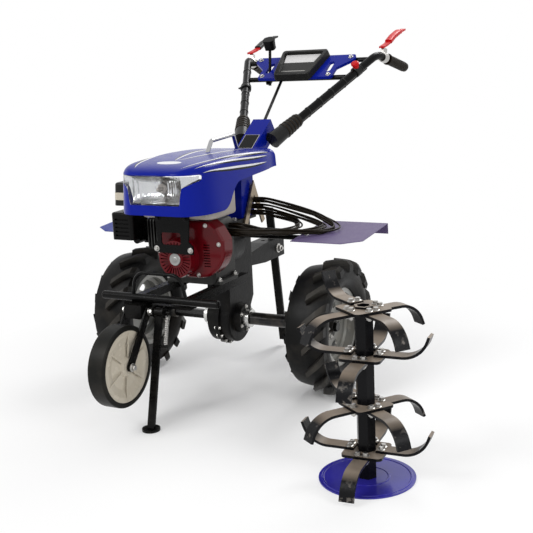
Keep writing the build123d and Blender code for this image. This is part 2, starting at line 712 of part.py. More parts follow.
with BuildPart() as front_disc:
    half = FRONT_WHEEL_WIDTH / 2
    edge = FRONT_RADIUS - FRONT_BAND - SEAT
    with BuildSketch(FRONT_SECTION):
        with BuildLine():
            Polyline(
                (0, 10 + RUN), (half + 2, 10 + RUN), (half + 2, 26), (half - 9, 34), (half - 12, 74),
                (half - 3, edge - 16), (half - 3, edge), (0, edge), close=True,
            )
        make_face()
        mirror(about=Plane.YZ)
    revolve(axis=FRONT_AXIS)

# Parking stand
with BuildPart() as stand_leg:
    foot_top = 8
    with BuildSketch(Plane.YZ.offset(-STAND_WIDTH / 2)):
        with BuildLine():
            Line((STAND_PIVOT_Y, STAND_PIVOT_HEIGHT), (STAND_FOOT_Y, foot_top - 4))
        trace(line_width=STAND_THICKNESS)
        with Locations((STAND_PIVOT_Y, STAND_PIVOT_HEIGHT)):
            Circle(15)
    extrude(amount=STAND_WIDTH)
    with BuildSketch(Plane.XY):
        with Locations((0, STAND_FOOT_Y)):
            Circle(STAND_FOOT_DIAMETER / 2)
    extrude(amount=foot_top)
    with BuildSketch(Plane.XY):
        Rectangle(400, 3000)
    extrude(amount=-60, mode=Mode.SUBTRACT)
    with BuildSketch(Plane.YZ.offset(-EAR_INNER - 8)):
        with Locations((STAND_PIVOT_Y, STAND_PIVOT_HEIGHT)):
            Circle(7)
    extrude(amount=2 * EAR_INNER + 8 + SPRING_X)
    spring_pin = along((0, STAND_PIVOT_Y, STAND_PIVOT_HEIGHT), (0, STAND_FOOT_Y, 0), SPRING_LENGTH + 2)
    with BuildSketch(Plane.YZ.offset(STAND_WIDTH / 2 - 1)):
        with Locations((spring_pin.Y, spring_pin.Z)):
            Circle(4)
    extrude(amount=SPRING_X + EAR_INNER - STAND_WIDTH / 2)

spring_top = along((0, STAND_PIVOT_Y, STAND_PIVOT_HEIGHT), (0, STAND_FOOT_Y, 0), 7 + SEAT)
spring_low = along((0, STAND_PIVOT_Y, STAND_PIVOT_HEIGHT), (0, STAND_FOOT_Y, 0), SPRING_LENGTH - 2 - SEAT)
spring_line = EAR_INNER + SPRING_X - 9
stand_spring = rod(
    [(spring_line, spring_top.Y, spring_top.Z), (spring_line, spring_low.Y, spring_low.Z)],
    SPRING_DIAMETER / 2,
)

# Handle post: a bent channel, closed in front, that carries the handlebar's pivot tube
with BuildPart() as handle_post:
    with BuildSketch(Plane.YZ.offset(-POST_WIDTH / 2)):
        with BuildLine():
            Polyline(
                (60, POST_FOOT), (160, POST_FOOT), (160, POST_FOOT + 145),
                (HANDLE_PIVOT_Y + 69, HANDLE_PIVOT_HEIGHT + 9),
                (HANDLE_PIVOT_Y + 29, HANDLE_PIVOT_HEIGHT + 66),
                (75, POST_FOOT + 175), close=True,
            )
        make_face()
    extrude(amount=POST_WIDTH)
    with BuildSketch(Plane.YZ.offset(-POST_WIDTH / 2 + POST_WALL)):
        with BuildLine():
            Polyline(
                (64, POST_FOOT - 10), (170, POST_FOOT - 10), (170, POST_FOOT + 125),
                (HANDLE_PIVOT_Y + 121, HANDLE_PIVOT_HEIGHT + 16),
                (HANDLE_PIVOT_Y + 66, HANDLE_PIVOT_HEIGHT + 83),
                (79, POST_FOOT + 171), close=True,
            )
        make_face()
    extrude(amount=POST_WIDTH - 2 * POST_WALL, mode=Mode.SUBTRACT)
    with BuildSketch(Plane.YZ.offset(-POST_WIDTH)):
        with Locations((HANDLE_PIVOT_Y, HANDLE_PIVOT_HEIGHT)):
            Circle(HANDLE_TUBE / 2 + RUN)
    extrude(amount=2 * POST_WIDTH, mode=Mode.SUBTRACT)

# Handlebar: everything turns on the pivot tube between the two clamps
HANDLE_RUN = Vector(0, HANDLE_BEND[1] - HANDLE_PIVOT_Y, HANDLE_BEND[2] - HANDLE_PIVOT_HEIGHT)
HANDLE_PITCH = atan2(HANDLE_RUN.Z, HANDLE_RUN.Y)
HANDLE_REACH = hypot(HANDLE_RUN.Y, HANDLE_RUN.Z)
HANDLE_PLANE = Plane(
    (0, HANDLE_PIVOT_Y, HANDLE_PIVOT_HEIGHT), x_dir=(1, 0, 0),
    z_dir=(0, -sin(HANDLE_PITCH), cos(HANDLE_PITCH)),
)


def handle_point(u, v, n=0):
    """Point of the handlebar: across, along its slope from the pivot, and above it."""
    return HANDLE_PLANE.from_local_coords(Vector(u, v, n))


def tube_half(v):
    """Distance of a handlebar tube's centre from the middle, at a place along the slope."""
    return HANDLE_BASE_X + (HANDLE_BEND[0] - HANDLE_BASE_X) * v / HANDLE_REACH


def tube_route(side):
    """Corner points of a handlebar tube from its clamp to the end of its grip."""
    return [
        (side * HANDLE_BASE_X, HANDLE_PIVOT_Y, HANDLE_PIVOT_HEIGHT),
        (side * HANDLE_BEND[0], HANDLE_BEND[1], HANDLE_BEND[2]),
        (side * HANDLE_END[0], HANDLE_END[1], HANDLE_END[2]),
    ]


def tube(side, radius):
    """Handlebar tube, bent level at its top."""
    return rod(tube_route(side), radius, HANDLE_BEND_RADIUS)


handle_tube_left = tube(LEFT, HANDLE_TUBE / 2)
handle_tube_right = tube(RIGHT, HANDLE_TUBE / 2)
tube_void_left = tube(LEFT, HANDLE_TUBE / 2 + SEAT)
tube_void_right = tube(RIGHT, HANDLE_TUBE / 2 + SEAT)

with BuildPart() as handle_clamps:
    with BuildSketch(Plane.YZ.offset(-HANDLE_BASE_X)):
        with Locations((HANDLE_PIVOT_Y, HANDLE_PIVOT_HEIGHT)):
            Circle(HANDLE_TUBE / 2)
    extrude(amount=2 * HANDLE_BASE_X)
    for side in (LEFT, RIGHT):
        route = tube_route(side)
        heading = (Vector(*route[1]) - Vector(*route[0])).normalized()
        foot = Vector(*route[0]) - heading * 24
        with BuildSketch(Plane(foot, z_dir=heading)):
            Circle(CLAMP_DIAMETER / 2)
        with BuildSketch(Plane(foot + heading * CLAMP_LENGTH, z_dir=heading)):
            Circle(CLAMP_DIAMETER / 2 - 8)
        loft()
    add(tube_void_left, mode=Mode.SUBTRACT)
    add(tube_void_right, mode=Mode.SUBTRACT)

with BuildPart() as cross_bars:
    for v in (UPPER_BAR, LOWER_BAR):
        start = handle_point(-tube_half(v), v)
        with BuildSketch(Plane(start, z_dir=(1, 0, 0))):
            Circle(CROSS_BAR / 2)
        extrude(amount=2 * tube_half(v))
    add(tube_void_left, mode=Mode.SUBTRACT)
    add(tube_void_right, mode=Mode.SUBTRACT)

PANEL_BASE = CROSS_BAR / 2 + SEAT
with BuildPart() as panel:
    with BuildSketch(HANDLE_PLANE.offset(PANEL_BASE)) as panel_outline:
        with BuildLine():
            Polyline(
                (-tube_half(LOWER_BAR) + 68, LOWER_BAR - 26), (tube_half(LOWER_BAR) - 68, LOWER_BAR - 26),
                (tube_half(LOWER_BAR) - 68, LOWER_BAR + 40), (tube_half(UPPER_BAR) - 62, UPPER_BAR - 30),
                (tube_half(UPPER_BAR) - 62, UPPER_BAR + 8), (-tube_half(UPPER_BAR) + 62, UPPER_BAR + 8),
                (-tube_half(UPPER_BAR) + 62, UPPER_BAR - 30), (-tube_half(LOWER_BAR) + 68, LOWER_BAR + 40),
                close=True,
            )
        make_face()
        fillet(panel_outline.vertices(), 10)
        slot_middle = (LOWER_BAR + UPPER_BAR) / 2 - 14
        with Locations((GEAR_X, slot_middle), (-GEAR_X, slot_middle)):
            SlotOverall(74, 22, rotation=90, mode=Mode.SUBTRACT)
    extrude(amount=PANEL_THICKNESS)

with BuildPart() as console:
    with BuildSketch(HANDLE_PLANE.offset(PANEL_BASE + PANEL_THICKNESS)) as console_outline:
        with BuildLine():
            Polyline(
                (-CONSOLE_FOOT, LOWER_BAR - 46), (CONSOLE_FOOT, LOWER_BAR - 46),
                (CONSOLE_TOP, UPPER_BAR + 20), (-CONSOLE_TOP, UPPER_BAR + 20), close=True,
            )
        make_face()
        fillet(console_outline.vertices(), 18)
    extrude(amount=CONSOLE_DEPTH, taper=8)
    fillet(console.faces().sort_by(Axis((0, 0, 0), HANDLE_PLANE.z_dir))[-1].edges(), 5)
    with BuildSketch(HANDLE_PLANE.offset(PANEL_BASE + PANEL_THICKNESS + CONSOLE_DEPTH)) as tray_outline:
        with BuildLine():
            Polyline(
                (-CONSOLE_FOOT + 20, LOWER_BAR - 24), (CONSOLE_FOOT - 20, LOWER_BAR - 24),
                (CONSOLE_TOP - 20, UPPER_BAR), (-CONSOLE_TOP + 20, UPPER_BAR), close=True,
            )
        make_face()
        fillet(tray_outline.vertices(), 12)
    extrude(amount=-CONSOLE_TRAY, taper=10, mode=Mode.SUBTRACT)

with BuildPart() as grips:
    for side in (LEFT, RIGHT):
        route = tube_route(side)
        heading = (Vector(*route[2]) - Vector(*route[1])).normalized()
        start = Vector(*route[2]) - heading * (GRIP_LENGTH - 6)
        with BuildSketch(Plane(start, z_dir=heading)):
            Circle(GRIP_DIAMETER / 2)
        extrude(amount=GRIP_LENGTH)
    add(tube_void_left, mode=Mode.SUBTRACT)
    add(tube_void_right, mode=Mode.SUBTRACT)

with BuildPart() as lever_clamps:
    for side in (LEFT, RIGHT):
        route = tube_route(side)
        heading = (Vector(*route[2]) - Vector(*route[1])).normalized()
        centre = Vector(*route[1]) + heading * CLAMP_AT
        with BuildSketch(Plane(centre - heading * 14, x_dir=(1, 0, 0), z_dir=heading)):
            Circle(HANDLE_TUBE / 2 + 5)
        extrude(amount=28)
        with BuildSketch(Plane(centre - heading * 14, x_dir=(1, 0, 0), z_dir=heading)):
            with Locations((0, -HANDLE_TUBE / 2 - LEVER_STAND / 2 - 0.5)):
                Rectangle(14, LEVER_STAND - 1)
        extrude(amount=28)
    add(tube_void_left, mode=Mode.SUBTRACT)
    add(tube_void_right, mode=Mode.SUBTRACT)


def clutch_lever(side):
    """Pressed lever that rises from its clamp over the grip, standing up while let go."""
    route = tube_route(side)
    heading = (Vector(*route[2]) - Vector(*route[1])).normalized()
    base = Vector(*route[1]) + heading * CLAMP_AT + Vector(0, 0, HANDLE_TUBE / 2 + LEVER_STAND + SEAT + 6.2)
    with BuildPart() as lever:
        with BuildSketch(Plane((base.X, 0, 0), x_dir=(0, 1, 0), z_dir=(1, 0, 0))):
            with BuildLine():
                l1 = Line((base.Y - 18, base.Z - 3), (base.Y + 26, base.Z + 6))
                Spline(
                    l1 @ 1, (base.Y + 110, base.Z + 38), (base.Y + LEVER_LENGTH, base.Z + LEVER_RISE),
                    tangents=(l1 % 1, (1, 0.22)),
                )
            trace(line_width=LEVER_THICKNESS)
        extrude(amount=LEVER_WIDTH / 2, both=True)
    return lever.part


with BuildPart() as clutch_levers:
    add([clutch_lever(LEFT), clutch_lever(RIGHT)])

with BuildPart() as gear_lever:
    middle = (LOWER_BAR + UPPER_BAR) / 2
    with BuildLine() as gear_route:
        Line(
            handle_point(GEAR_X, LOWER_BAR + 6, -34),
            handle_point(GEAR_X + 4, UPPER_BAR - 34, KNOB_RISE + 4),
        )
    with BuildSketch(Plane(gear_route.line ^ 0)):
        Circle(6)
    sweep()
    with BuildSketch(HANDLE_PLANE.offset(KNOB_RISE)) as knob_foot:
        with Locations((GEAR_X + 4, UPPER_BAR - 34)):
            RectangleRounded(44, 32, 10)
    with BuildSketch(HANDLE_PLANE.offset(KNOB_RISE + 34)) as knob_top:
        with Locations((GEAR_X + 4, UPPER_BAR - 30)):
            RectangleRounded(50, 38, 12)
    loft(sections=[knob_foot.sketch, knob_top.sketch])
    fillet(gear_lever.faces().sort_by(Axis((0, 0, 0), HANDLE_PLANE.z_dir))[-1].edges(), 9)
    with BuildSketch(HANDLE_PLANE.offset(-CROSS_BAR / 2 - SEAT)):
        with Locations((GEAR_X + 4, middle)):
            RectangleRounded(24, UPPER_BAR - LOWER_BAR + 24, 8)
    extrude(amount=-8)
    ring_at = (SHIFT_X - 8, HANDLE_PIVOT_Y, HANDLE_PIVOT_HEIGHT)
    with BuildSketch(Plane(ring_at, x_dir=(0, 1, 0), z_dir=(1, 0, 0))):
        Circle(HANDLE_TUBE / 2 + 7)
        Circle(HANDLE_TUBE / 2 + SEAT, mode=Mode.SUBTRACT)
    extrude(amount=16)
    with BuildLine() as shift_route:
        FilletPolyline(
            handle_point(SHIFT_X, HANDLE_TUBE / 2 + 4), handle_point(SHIFT_X, 96),
            handle_point(SHIFT_END, LOWER_BAR - CROSS_BAR / 2 - 1.2), radius=60,
        )
    with BuildSketch(Plane(shift_route.line ^ 0)):
        Circle(6)
    sweep()


def grip_cable(side):
    """Control cable that lies under a handlebar tube from lever clamp to post clamp."""
    route = tube_route(side)
    drop = HANDLE_PLANE.z_dir * (-HANDLE_TUBE / 2 - CABLE_DIAMETER / 2 - SEAT)
    start = along(route[0], route[1], CLAMP_LENGTH - 24 + 2) + drop
    end = along(route[0], route[1], HANDLE_REACH - 34) + drop
    return rod([start, end], CABLE_DIAMETER / 2)


with BuildPart() as grip_cables:
    add([grip_cable(LEFT), grip_cable(RIGHT)])

# Fenders: a sloped sheet over each wheel with its rear edge turned down
FENDER_PLANE = Plane(
    (0, FENDER_FRONT, FENDER_HEIGHT), x_dir=(1, 0, 0),
    z_dir=(0, -sin(radians(FENDER_RISE_DEG)), cos(radians(FENDER_RISE_DEG))),
)


def fender(side):
    """One fender sheet, cut off at its outer front corner."""
    inner, outer = side * FENDER_INNER, side * FENDER_OUTER
    with BuildPart() as sheet:
        with BuildSketch(FENDER_PLANE):
            with BuildLine():
                Polyline(
                    (inner, 0), (outer - side * 62, 0), (outer, 50), (outer, FENDER_LENGTH),
                    (inner, FENDER_LENGTH), close=True,
                )
            make_face()
        extrude(amount=FENDER_SHEET)
        with BuildSketch(FENDER_PLANE):
            with Locations(((inner + outer) / 2, FENDER_LENGTH - FENDER_SHEET / 2)):
                Rectangle(FENDER_OUTER - FENDER_INNER, FENDER_SHEET)
        extrude(amount=-FENDER_LIP)
    return sheet.part


with BuildPart() as fenders:
    add([fender(LEFT), fender(RIGHT)])

with BuildPart() as fender_supports:
    for side in (LEFT, RIGHT):
        for v in SUPPORT_STATIONS:
            start = FENDER_PLANE.from_local_coords(
                Vector(side * CASE_WIDTH / 2, v, -SUPPORT_DIAMETER / 2 - SEAT)
            )
            with BuildSketch(Plane(start, z_dir=(side, 0, 0))):
                Circle(SUPPORT_DIAMETER / 2)
            extrude(amount=FENDER_INNER + SUPPORT_OVERLAP - CASE_WIDTH / 2)

# Control cables that loop out over the left fender's supports, from the engine to the post
LOOM_START = CRANKCASE_WIDTH / 2 + SEAT
LOOM_END = POST_WIDTH / 2 + SEAT


def sheet_lie(x, y):
    """Place of a cable lying on the fender sheet, or level with it beside the sheet."""
    rise = (y - FENDER_FRONT) * sin(radians(FENDER_RISE_DEG)) / cos(radians(FENDER_RISE_DEG))
    return (x, y, FENDER_HEIGHT + rise + FENDER_SHEET + LOOM_DIAMETER / 2 + SEAT)


outer_cable = rod(
    [(LOOM_START, -150, 590), (LOOM_START + 60, -150, 590), (255, -45, 576), sheet_lie(372, 25),
     sheet_lie(392, 110), (285, 158, 606), (LOOM_END + 70, 137, 652), (LOOM_END, 137, 652)],
    LOOM_DIAMETER / 2, LOOM_BEND,
)
middle_cable = rod(
    [(LOOM_START, -130, 606), (LOOM_START + 50, -130, 606), (228, -30, 564), sheet_lie(330, 40),
     sheet_lie(345, 110), (250, 141, 592), (LOOM_END + 70, 137, 628), (LOOM_END, 137, 628)],
    LOOM_DIAMETER / 2, LOOM_BEND,
)
inner_cable = rod(
    [(LOOM_START, -118, 574), (LOOM_START + 40, -118, 574), (200, -10, 563), (262, 70, 569),
     (225, 122, 584), (LOOM_END + 60, 135, 606), (LOOM_END, 135, 606)],
    LOOM_DIAMETER / 2, LOOM_BEND,
)
with BuildPart() as cable_loom:
    add([outer_cable, middle_cable, inner_cable])

# Rear hitch with its pin bore and the clamp for the drag bar
DRAG_PLANE = Plane(
    DRAG_FOOT, x_dir=(1, 0, 0), z_dir=(Vector(*DRAG_TOP) - Vector(*DRAG_FOOT)).normalized()
)
DRAG_LENGTH = (Vector(*DRAG_TOP) - Vector(*DRAG_FOOT)).length
with BuildPart() as hitch_box:
    with BuildSketch(Plane.YZ.offset(-HITCH_WIDTH / 2)):
        with BuildLine():
            Polyline(
                (CASE_REAR, HITCH_BOTTOM + 14), (240, HITCH_BOTTOM), (HITCH_REAR, HITCH_BOTTOM),
                (HITCH_REAR, HITCH_BOTTOM + HITCH_HEIGHT - 12),
                (HITCH_PIN_Y + 40, HITCH_BOTTOM + HITCH_HEIGHT),
                (240, HITCH_BOTTOM + HITCH_HEIGHT),
                (CASE_REAR, HITCH_BOTTOM + HITCH_HEIGHT - 14), close=True,
            )
        make_face()
    extrude(amount=HITCH_WIDTH)
    with BuildSketch(Plane.XY.offset(HITCH_BOTTOM - 10)):
        with Locations((0, HITCH_PIN_Y)):
            Circle(HITCH_PIN_DIAMETER / 2)
    extrude(amount=HITCH_HEIGHT + 20, mode=Mode.SUBTRACT)
    with BuildSketch(DRAG_PLANE):
        Rectangle(DRAG_WIDTH + 2 * RUN, DRAG_THICKNESS + 2 * RUN)
    extrude(amount=DRAG_LENGTH, mode=Mode.SUBTRACT)

with BuildPart() as drag_bar:
    with BuildSketch(DRAG_PLANE):
        Rectangle(DRAG_WIDTH, DRAG_THICKNESS)
    extrude(amount=DRAG_LENGTH)

# Struts on the post's flanks
with BuildPart() as post_struts:
    for strut_x, boss_x in ((CASE_WIDTH / 2, POST_WIDTH / 2), (-CASE_WIDTH / 2 - 6, -CASE_WIDTH / 2)):
        with BuildSketch(Plane.YZ.offset(strut_x)):
            with BuildLine():
                Polyline((68, POST_FOOT - 26), (140, POST_FOOT + 104), (206, POST_FOOT - 34))
            trace(line_width=24)
        extrude(amount=6)
        with BuildSketch(Plane.YZ.offset(boss_x)):
            with Locations((140, POST_FOOT + 104)):
                Circle(10)
        extrude(amount=(CASE_WIDTH - POST_WIDTH) / 2)

with BuildPart() as lift_handle:
    with BuildLine() as lift_route:
        FilletPolyline(
            (0, LIFT_FRONT, HOOD_TOP - 6), (0, LIFT_FRONT + 34, HOOD_TOP + LIFT_RISE),
            (0, LIFT_REAR, HOOD_TOP + LIFT_RISE + 8), (0, LIFT_REAR + 24, HOOD_TOP - 12), radius=16,
        )
    with BuildSketch(Plane(lift_route.line ^ 0)):
        Circle(LIFT_DIAMETER / 2)
    sweep()
    add(hood_skin, mode=Mode.SUBTRACT)

# Tine reel
with BuildPart() as reel_shaft:
    with BuildSketch(Plane((REEL_X, REEL_Y, REEL_DISC_SHEET))):
        RegularPolygon(REEL_HEX / 2, 6, major_radius=False)
        RegularPolygon(REEL_SOCKET / 2, 6, major_radius=False, mode=Mode.SUBTRACT)
    extrude(amount=REEL_LENGTH - REEL_DISC_SHEET)
    for level, heading in zip(STAR_LEVELS, ROW_HEADINGS):
        with BuildSketch(Plane((REEL_X, REEL_Y, level))):
            RectangleRounded(STAR_PLATE, STAR_PLATE, 14, rotation=heading)
            Circle(REEL_SOCKET / 2 + 5, mode=Mode.SUBTRACT)
        extrude(amount=STAR_SHEET)

with BuildPart() as reel_disc:
    with BuildSketch(Plane((REEL_X, REEL_Y, 0))):
        Circle(REEL_DISC_DIAMETER / 2)
        RegularPolygon(REEL_SOCKET / 2, 6, major_radius=False, mode=Mode.SUBTRACT)
    extrude(amount=REEL_DISC_SHEET)


def tine(level, heading, turn):
    """One blade: a flat bar bolted to its star plate, swept round to stand on edge at its tip."""
    root = REEL_HEX / 2 + 8
    seat = level + STAR_SHEET + TINE_THICKNESS / 2 if turn > 0 else level - TINE_THICKNESS / 2
    half_sweep = radians(TINE_SWEEP_DEG / 2)
    sweep_end = radians(TINE_SWEEP_DEG)
    middle = (TINE_FLAT + TINE_BEND * sin(half_sweep), turn * TINE_BEND * (1 - cos(half_sweep)))
    end = (TINE_FLAT + TINE_BEND * sin(sweep_end), turn * TINE_BEND * (1 - cos(sweep_end)))
    tip = (end[0] + TINE_TIP * cos(sweep_end), end[1] + turn * TINE_TIP * sin(sweep_end))
    with BuildPart() as blade:
        with BuildSketch(
            Plane((REEL_X, REEL_Y, seat), x_dir=(cos(radians(heading)), sin(radians(heading)), 0),
                  z_dir=(sin(radians(heading)), -cos(radians(heading)), 0))
        ):
            with BuildLine():
                Line((root, 0), (TINE_FLAT, 0))
                ThreePointArc((TINE_FLAT, 0), middle, end)
                Line(end, tip)
            trace(line_width=TINE_THICKNESS)
        extrude(amount=TINE_WIDTH / 2, both=True)
    return blade.part


tines = []
for level, first in zip(STAR_LEVELS, ROW_HEADINGS):
    for quarter, turn in enumerate(ROW_TURNS[first]):
        tines.append(tine(level, first + 90 * quarter, turn))

with BuildPart() as tine_reel:
    add(reel_shaft.part)
    add(tines)

pieces = {
    "gearbox_case": gearbox_case.part,
    "axle_left": half_axle(LEFT),
    "axle_right": half_axle(RIGHT),
    "rim_left": rim(LEFT, COLLAR_END + 2),
    "rim_right": rim(RIGHT, HUB_RIGHT_INNER),
    "tyre_left": tyre(LEFT),
    "tyre_right": tyre(RIGHT),
    "engine_block": engine_block.part,
    "blower_housing": blower_housing.part,
    "recoil_cover": recoil_cover.part,
    "support_plate": support_plate.part,
    "muffler": muffler.part,
    "air_cleaner": air_cleaner.part,
    "fuel_tank": fuel_tank.part,
    "hood": hood.part,
    "headlamp_lens": headlamp_lens.part,
    "headlamp_reflector": headlamp_reflector.part,
    "front_frame": front_frame.part,
    "front_bumper": front_bumper.part,
    "front_fork": front_fork.part,
    "front_tyre": front_tyre.part,
    "front_disc": front_disc.part,
    "stand_leg": stand_leg.part,
    "stand_spring": stand_spring,
    "handle_post": handle_post.part,
    "post_struts": post_struts.part,
    "lift_handle": lift_handle.part,
    "handle_clamps": handle_clamps.part,
    "handle_tube_left": handle_tube_left,
    "handle_tube_right": handle_tube_right,
    "cross_bars": cross_bars.part,
    "panel": panel.part,
    "console": console.part,
    "grips": grips.part,
    "lever_clamps": lever_clamps.part,
    "clutch_levers": clutch_levers.part,
    "gear_lever": gear_lever.part,
    "grip_cables": grip_cables.part,
    "fenders": fenders.part,
    "fender_supports": fender_supports.part,
    "cable_loom": cable_loom.part,
    "hitch_box": hitch_box.part,
    "drag_bar": drag_bar.part,
    "reel_disc": reel_disc.part,
    "tine_reel": tine_reel.part,
}

# The part's origin is the middle of its footprint on the floor
box = Compound(children=[piece.moved(Location()) for piece in pieces.values()]).bounding_box()
to_origin = Location((-(box.min.X + box.max.X) / 2, -(box.min.Y + box.max.Y) / 2, 0))
os.makedirs("parts", exist_ok=True)
for label, piece in pieces.items():
    placed = piece.moved(to_origin)
    placed.label = label
    export_step(placed, f"parts/{label}.step")
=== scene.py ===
"""Looks of a walk-behind power tiller, with one of its tine reels set down beside it.

Places on the machine are in millimetres and go through Layout.at. Sizes of the forms that are made
there, and all that a finish measures, are in metres.
"""

import json
import logging
import math
from dataclasses import dataclass, field
from enum import Enum
from typing import Any, Iterable, Sequence

import bmesh
import bpy
from mathutils import Matrix, Vector

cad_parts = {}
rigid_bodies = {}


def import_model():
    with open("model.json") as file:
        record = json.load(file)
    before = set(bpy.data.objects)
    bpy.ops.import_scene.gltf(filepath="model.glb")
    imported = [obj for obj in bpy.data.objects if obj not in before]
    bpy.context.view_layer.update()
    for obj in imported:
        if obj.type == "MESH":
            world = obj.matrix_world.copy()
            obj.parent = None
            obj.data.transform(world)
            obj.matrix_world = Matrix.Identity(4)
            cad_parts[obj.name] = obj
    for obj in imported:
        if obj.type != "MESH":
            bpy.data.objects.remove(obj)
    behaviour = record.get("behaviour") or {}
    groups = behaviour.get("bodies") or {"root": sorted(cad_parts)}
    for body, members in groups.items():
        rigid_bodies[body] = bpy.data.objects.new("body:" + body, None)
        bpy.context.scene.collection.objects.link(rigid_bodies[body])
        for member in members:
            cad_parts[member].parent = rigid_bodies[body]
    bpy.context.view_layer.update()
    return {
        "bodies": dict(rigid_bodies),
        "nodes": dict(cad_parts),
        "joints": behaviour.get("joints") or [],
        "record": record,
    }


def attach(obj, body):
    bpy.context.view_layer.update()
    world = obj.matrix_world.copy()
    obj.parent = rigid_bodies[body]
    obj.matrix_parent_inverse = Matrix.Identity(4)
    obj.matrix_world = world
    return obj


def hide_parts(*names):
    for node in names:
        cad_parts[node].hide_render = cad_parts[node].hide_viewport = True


log = logging.getLogger("tiller")

Colour = tuple[float, float, float]
Place = tuple[float, float, float]
Pair = tuple[float, float]

MM = 0.001
LEFT = Vector((1, 0, 0))
BACK = Vector((0, 1, 0))
UP = Vector((0, 0, 1))
SIDES = (1, -1)
CRISP_DEG = 32.0
ROUND_DEG = 60.0


class Sock:
    """A shader socket that takes part in Python arithmetic."""

    def __init__(self, shade: "Shade", socket: bpy.types.NodeSocket | None) -> None:
        """Wrap one output socket of a shade's tree."""
        self.shade = shade
        self.socket = socket

    def maths(self, operation: str, *values: "Sock | float", clamp: bool = False) -> "Sock":
        """Math node with values on its inputs, held between 0 and 1 where clamped."""
        settings = {"operation": operation, "use_clamp": clamp}
        return self.shade.node("ShaderNodeMath", settings, dict(enumerate(values)))

    def __add__(self, other: "Sock | float") -> "Sock":
        """Sum of two values."""
        return self.maths("ADD", self, other)

    __radd__ = __add__

    def __sub__(self, other: "Sock | float") -> "Sock":
        """Difference of two values."""
        return self.maths("SUBTRACT", self, other)

    def __rsub__(self, other: "Sock | float") -> "Sock":
        """Difference with the plain number first."""
        return self.maths("SUBTRACT", other, self)

    def __mul__(self, other: "Sock | float") -> "Sock":
        """Product of two values."""
        return self.maths("MULTIPLY", self, other)

    __rmul__ = __mul__

    def __truediv__(self, other: "Sock | float") -> "Sock":
        """Quotient of two values."""
        return self.maths("DIVIDE", self, other)

    def __rtruediv__(self, other: "Sock | float") -> "Sock":
        """Quotient with the plain number first."""
        return self.maths("DIVIDE", other, self)

    def __pow__(self, other: "Sock | float") -> "Sock":
        """Power of a value."""
        return self.maths("POWER", self, other)

    def __abs__(self) -> "Sock":
        """Size of a value without its sign."""
        return self.maths("ABSOLUTE", self)

    def least(self, other: "Sock | float") -> "Sock":
        """Smaller of two values."""
        return self.maths("MINIMUM", self, other)

    def most(self, other: "Sock | float") -> "Sock":
        """Larger of two values."""
        return self.maths("MAXIMUM", self, other)

    def rise(self, edge: float, soft: float) -> "Sock":
        """Mask that goes from 0 at an edge to 1 a soft distance past it; a negative one falls."""
        return self.maths("MULTIPLY_ADD", self, 1.0 / soft, -edge / soft, clamp=True)

    def wave(self, pitch: float) -> "Sock":
        """Wave between 0 and 1 with one crest in each pitch."""
        return self.maths("SINE", self * (2 * math.pi / pitch)) * 0.5 + 0.5

    def reach(self, other: "Sock") -> "Sock":
        """Distance of a point by its two coordinates."""
        return (self ** 2.0 + other ** 2.0) ** 0.5


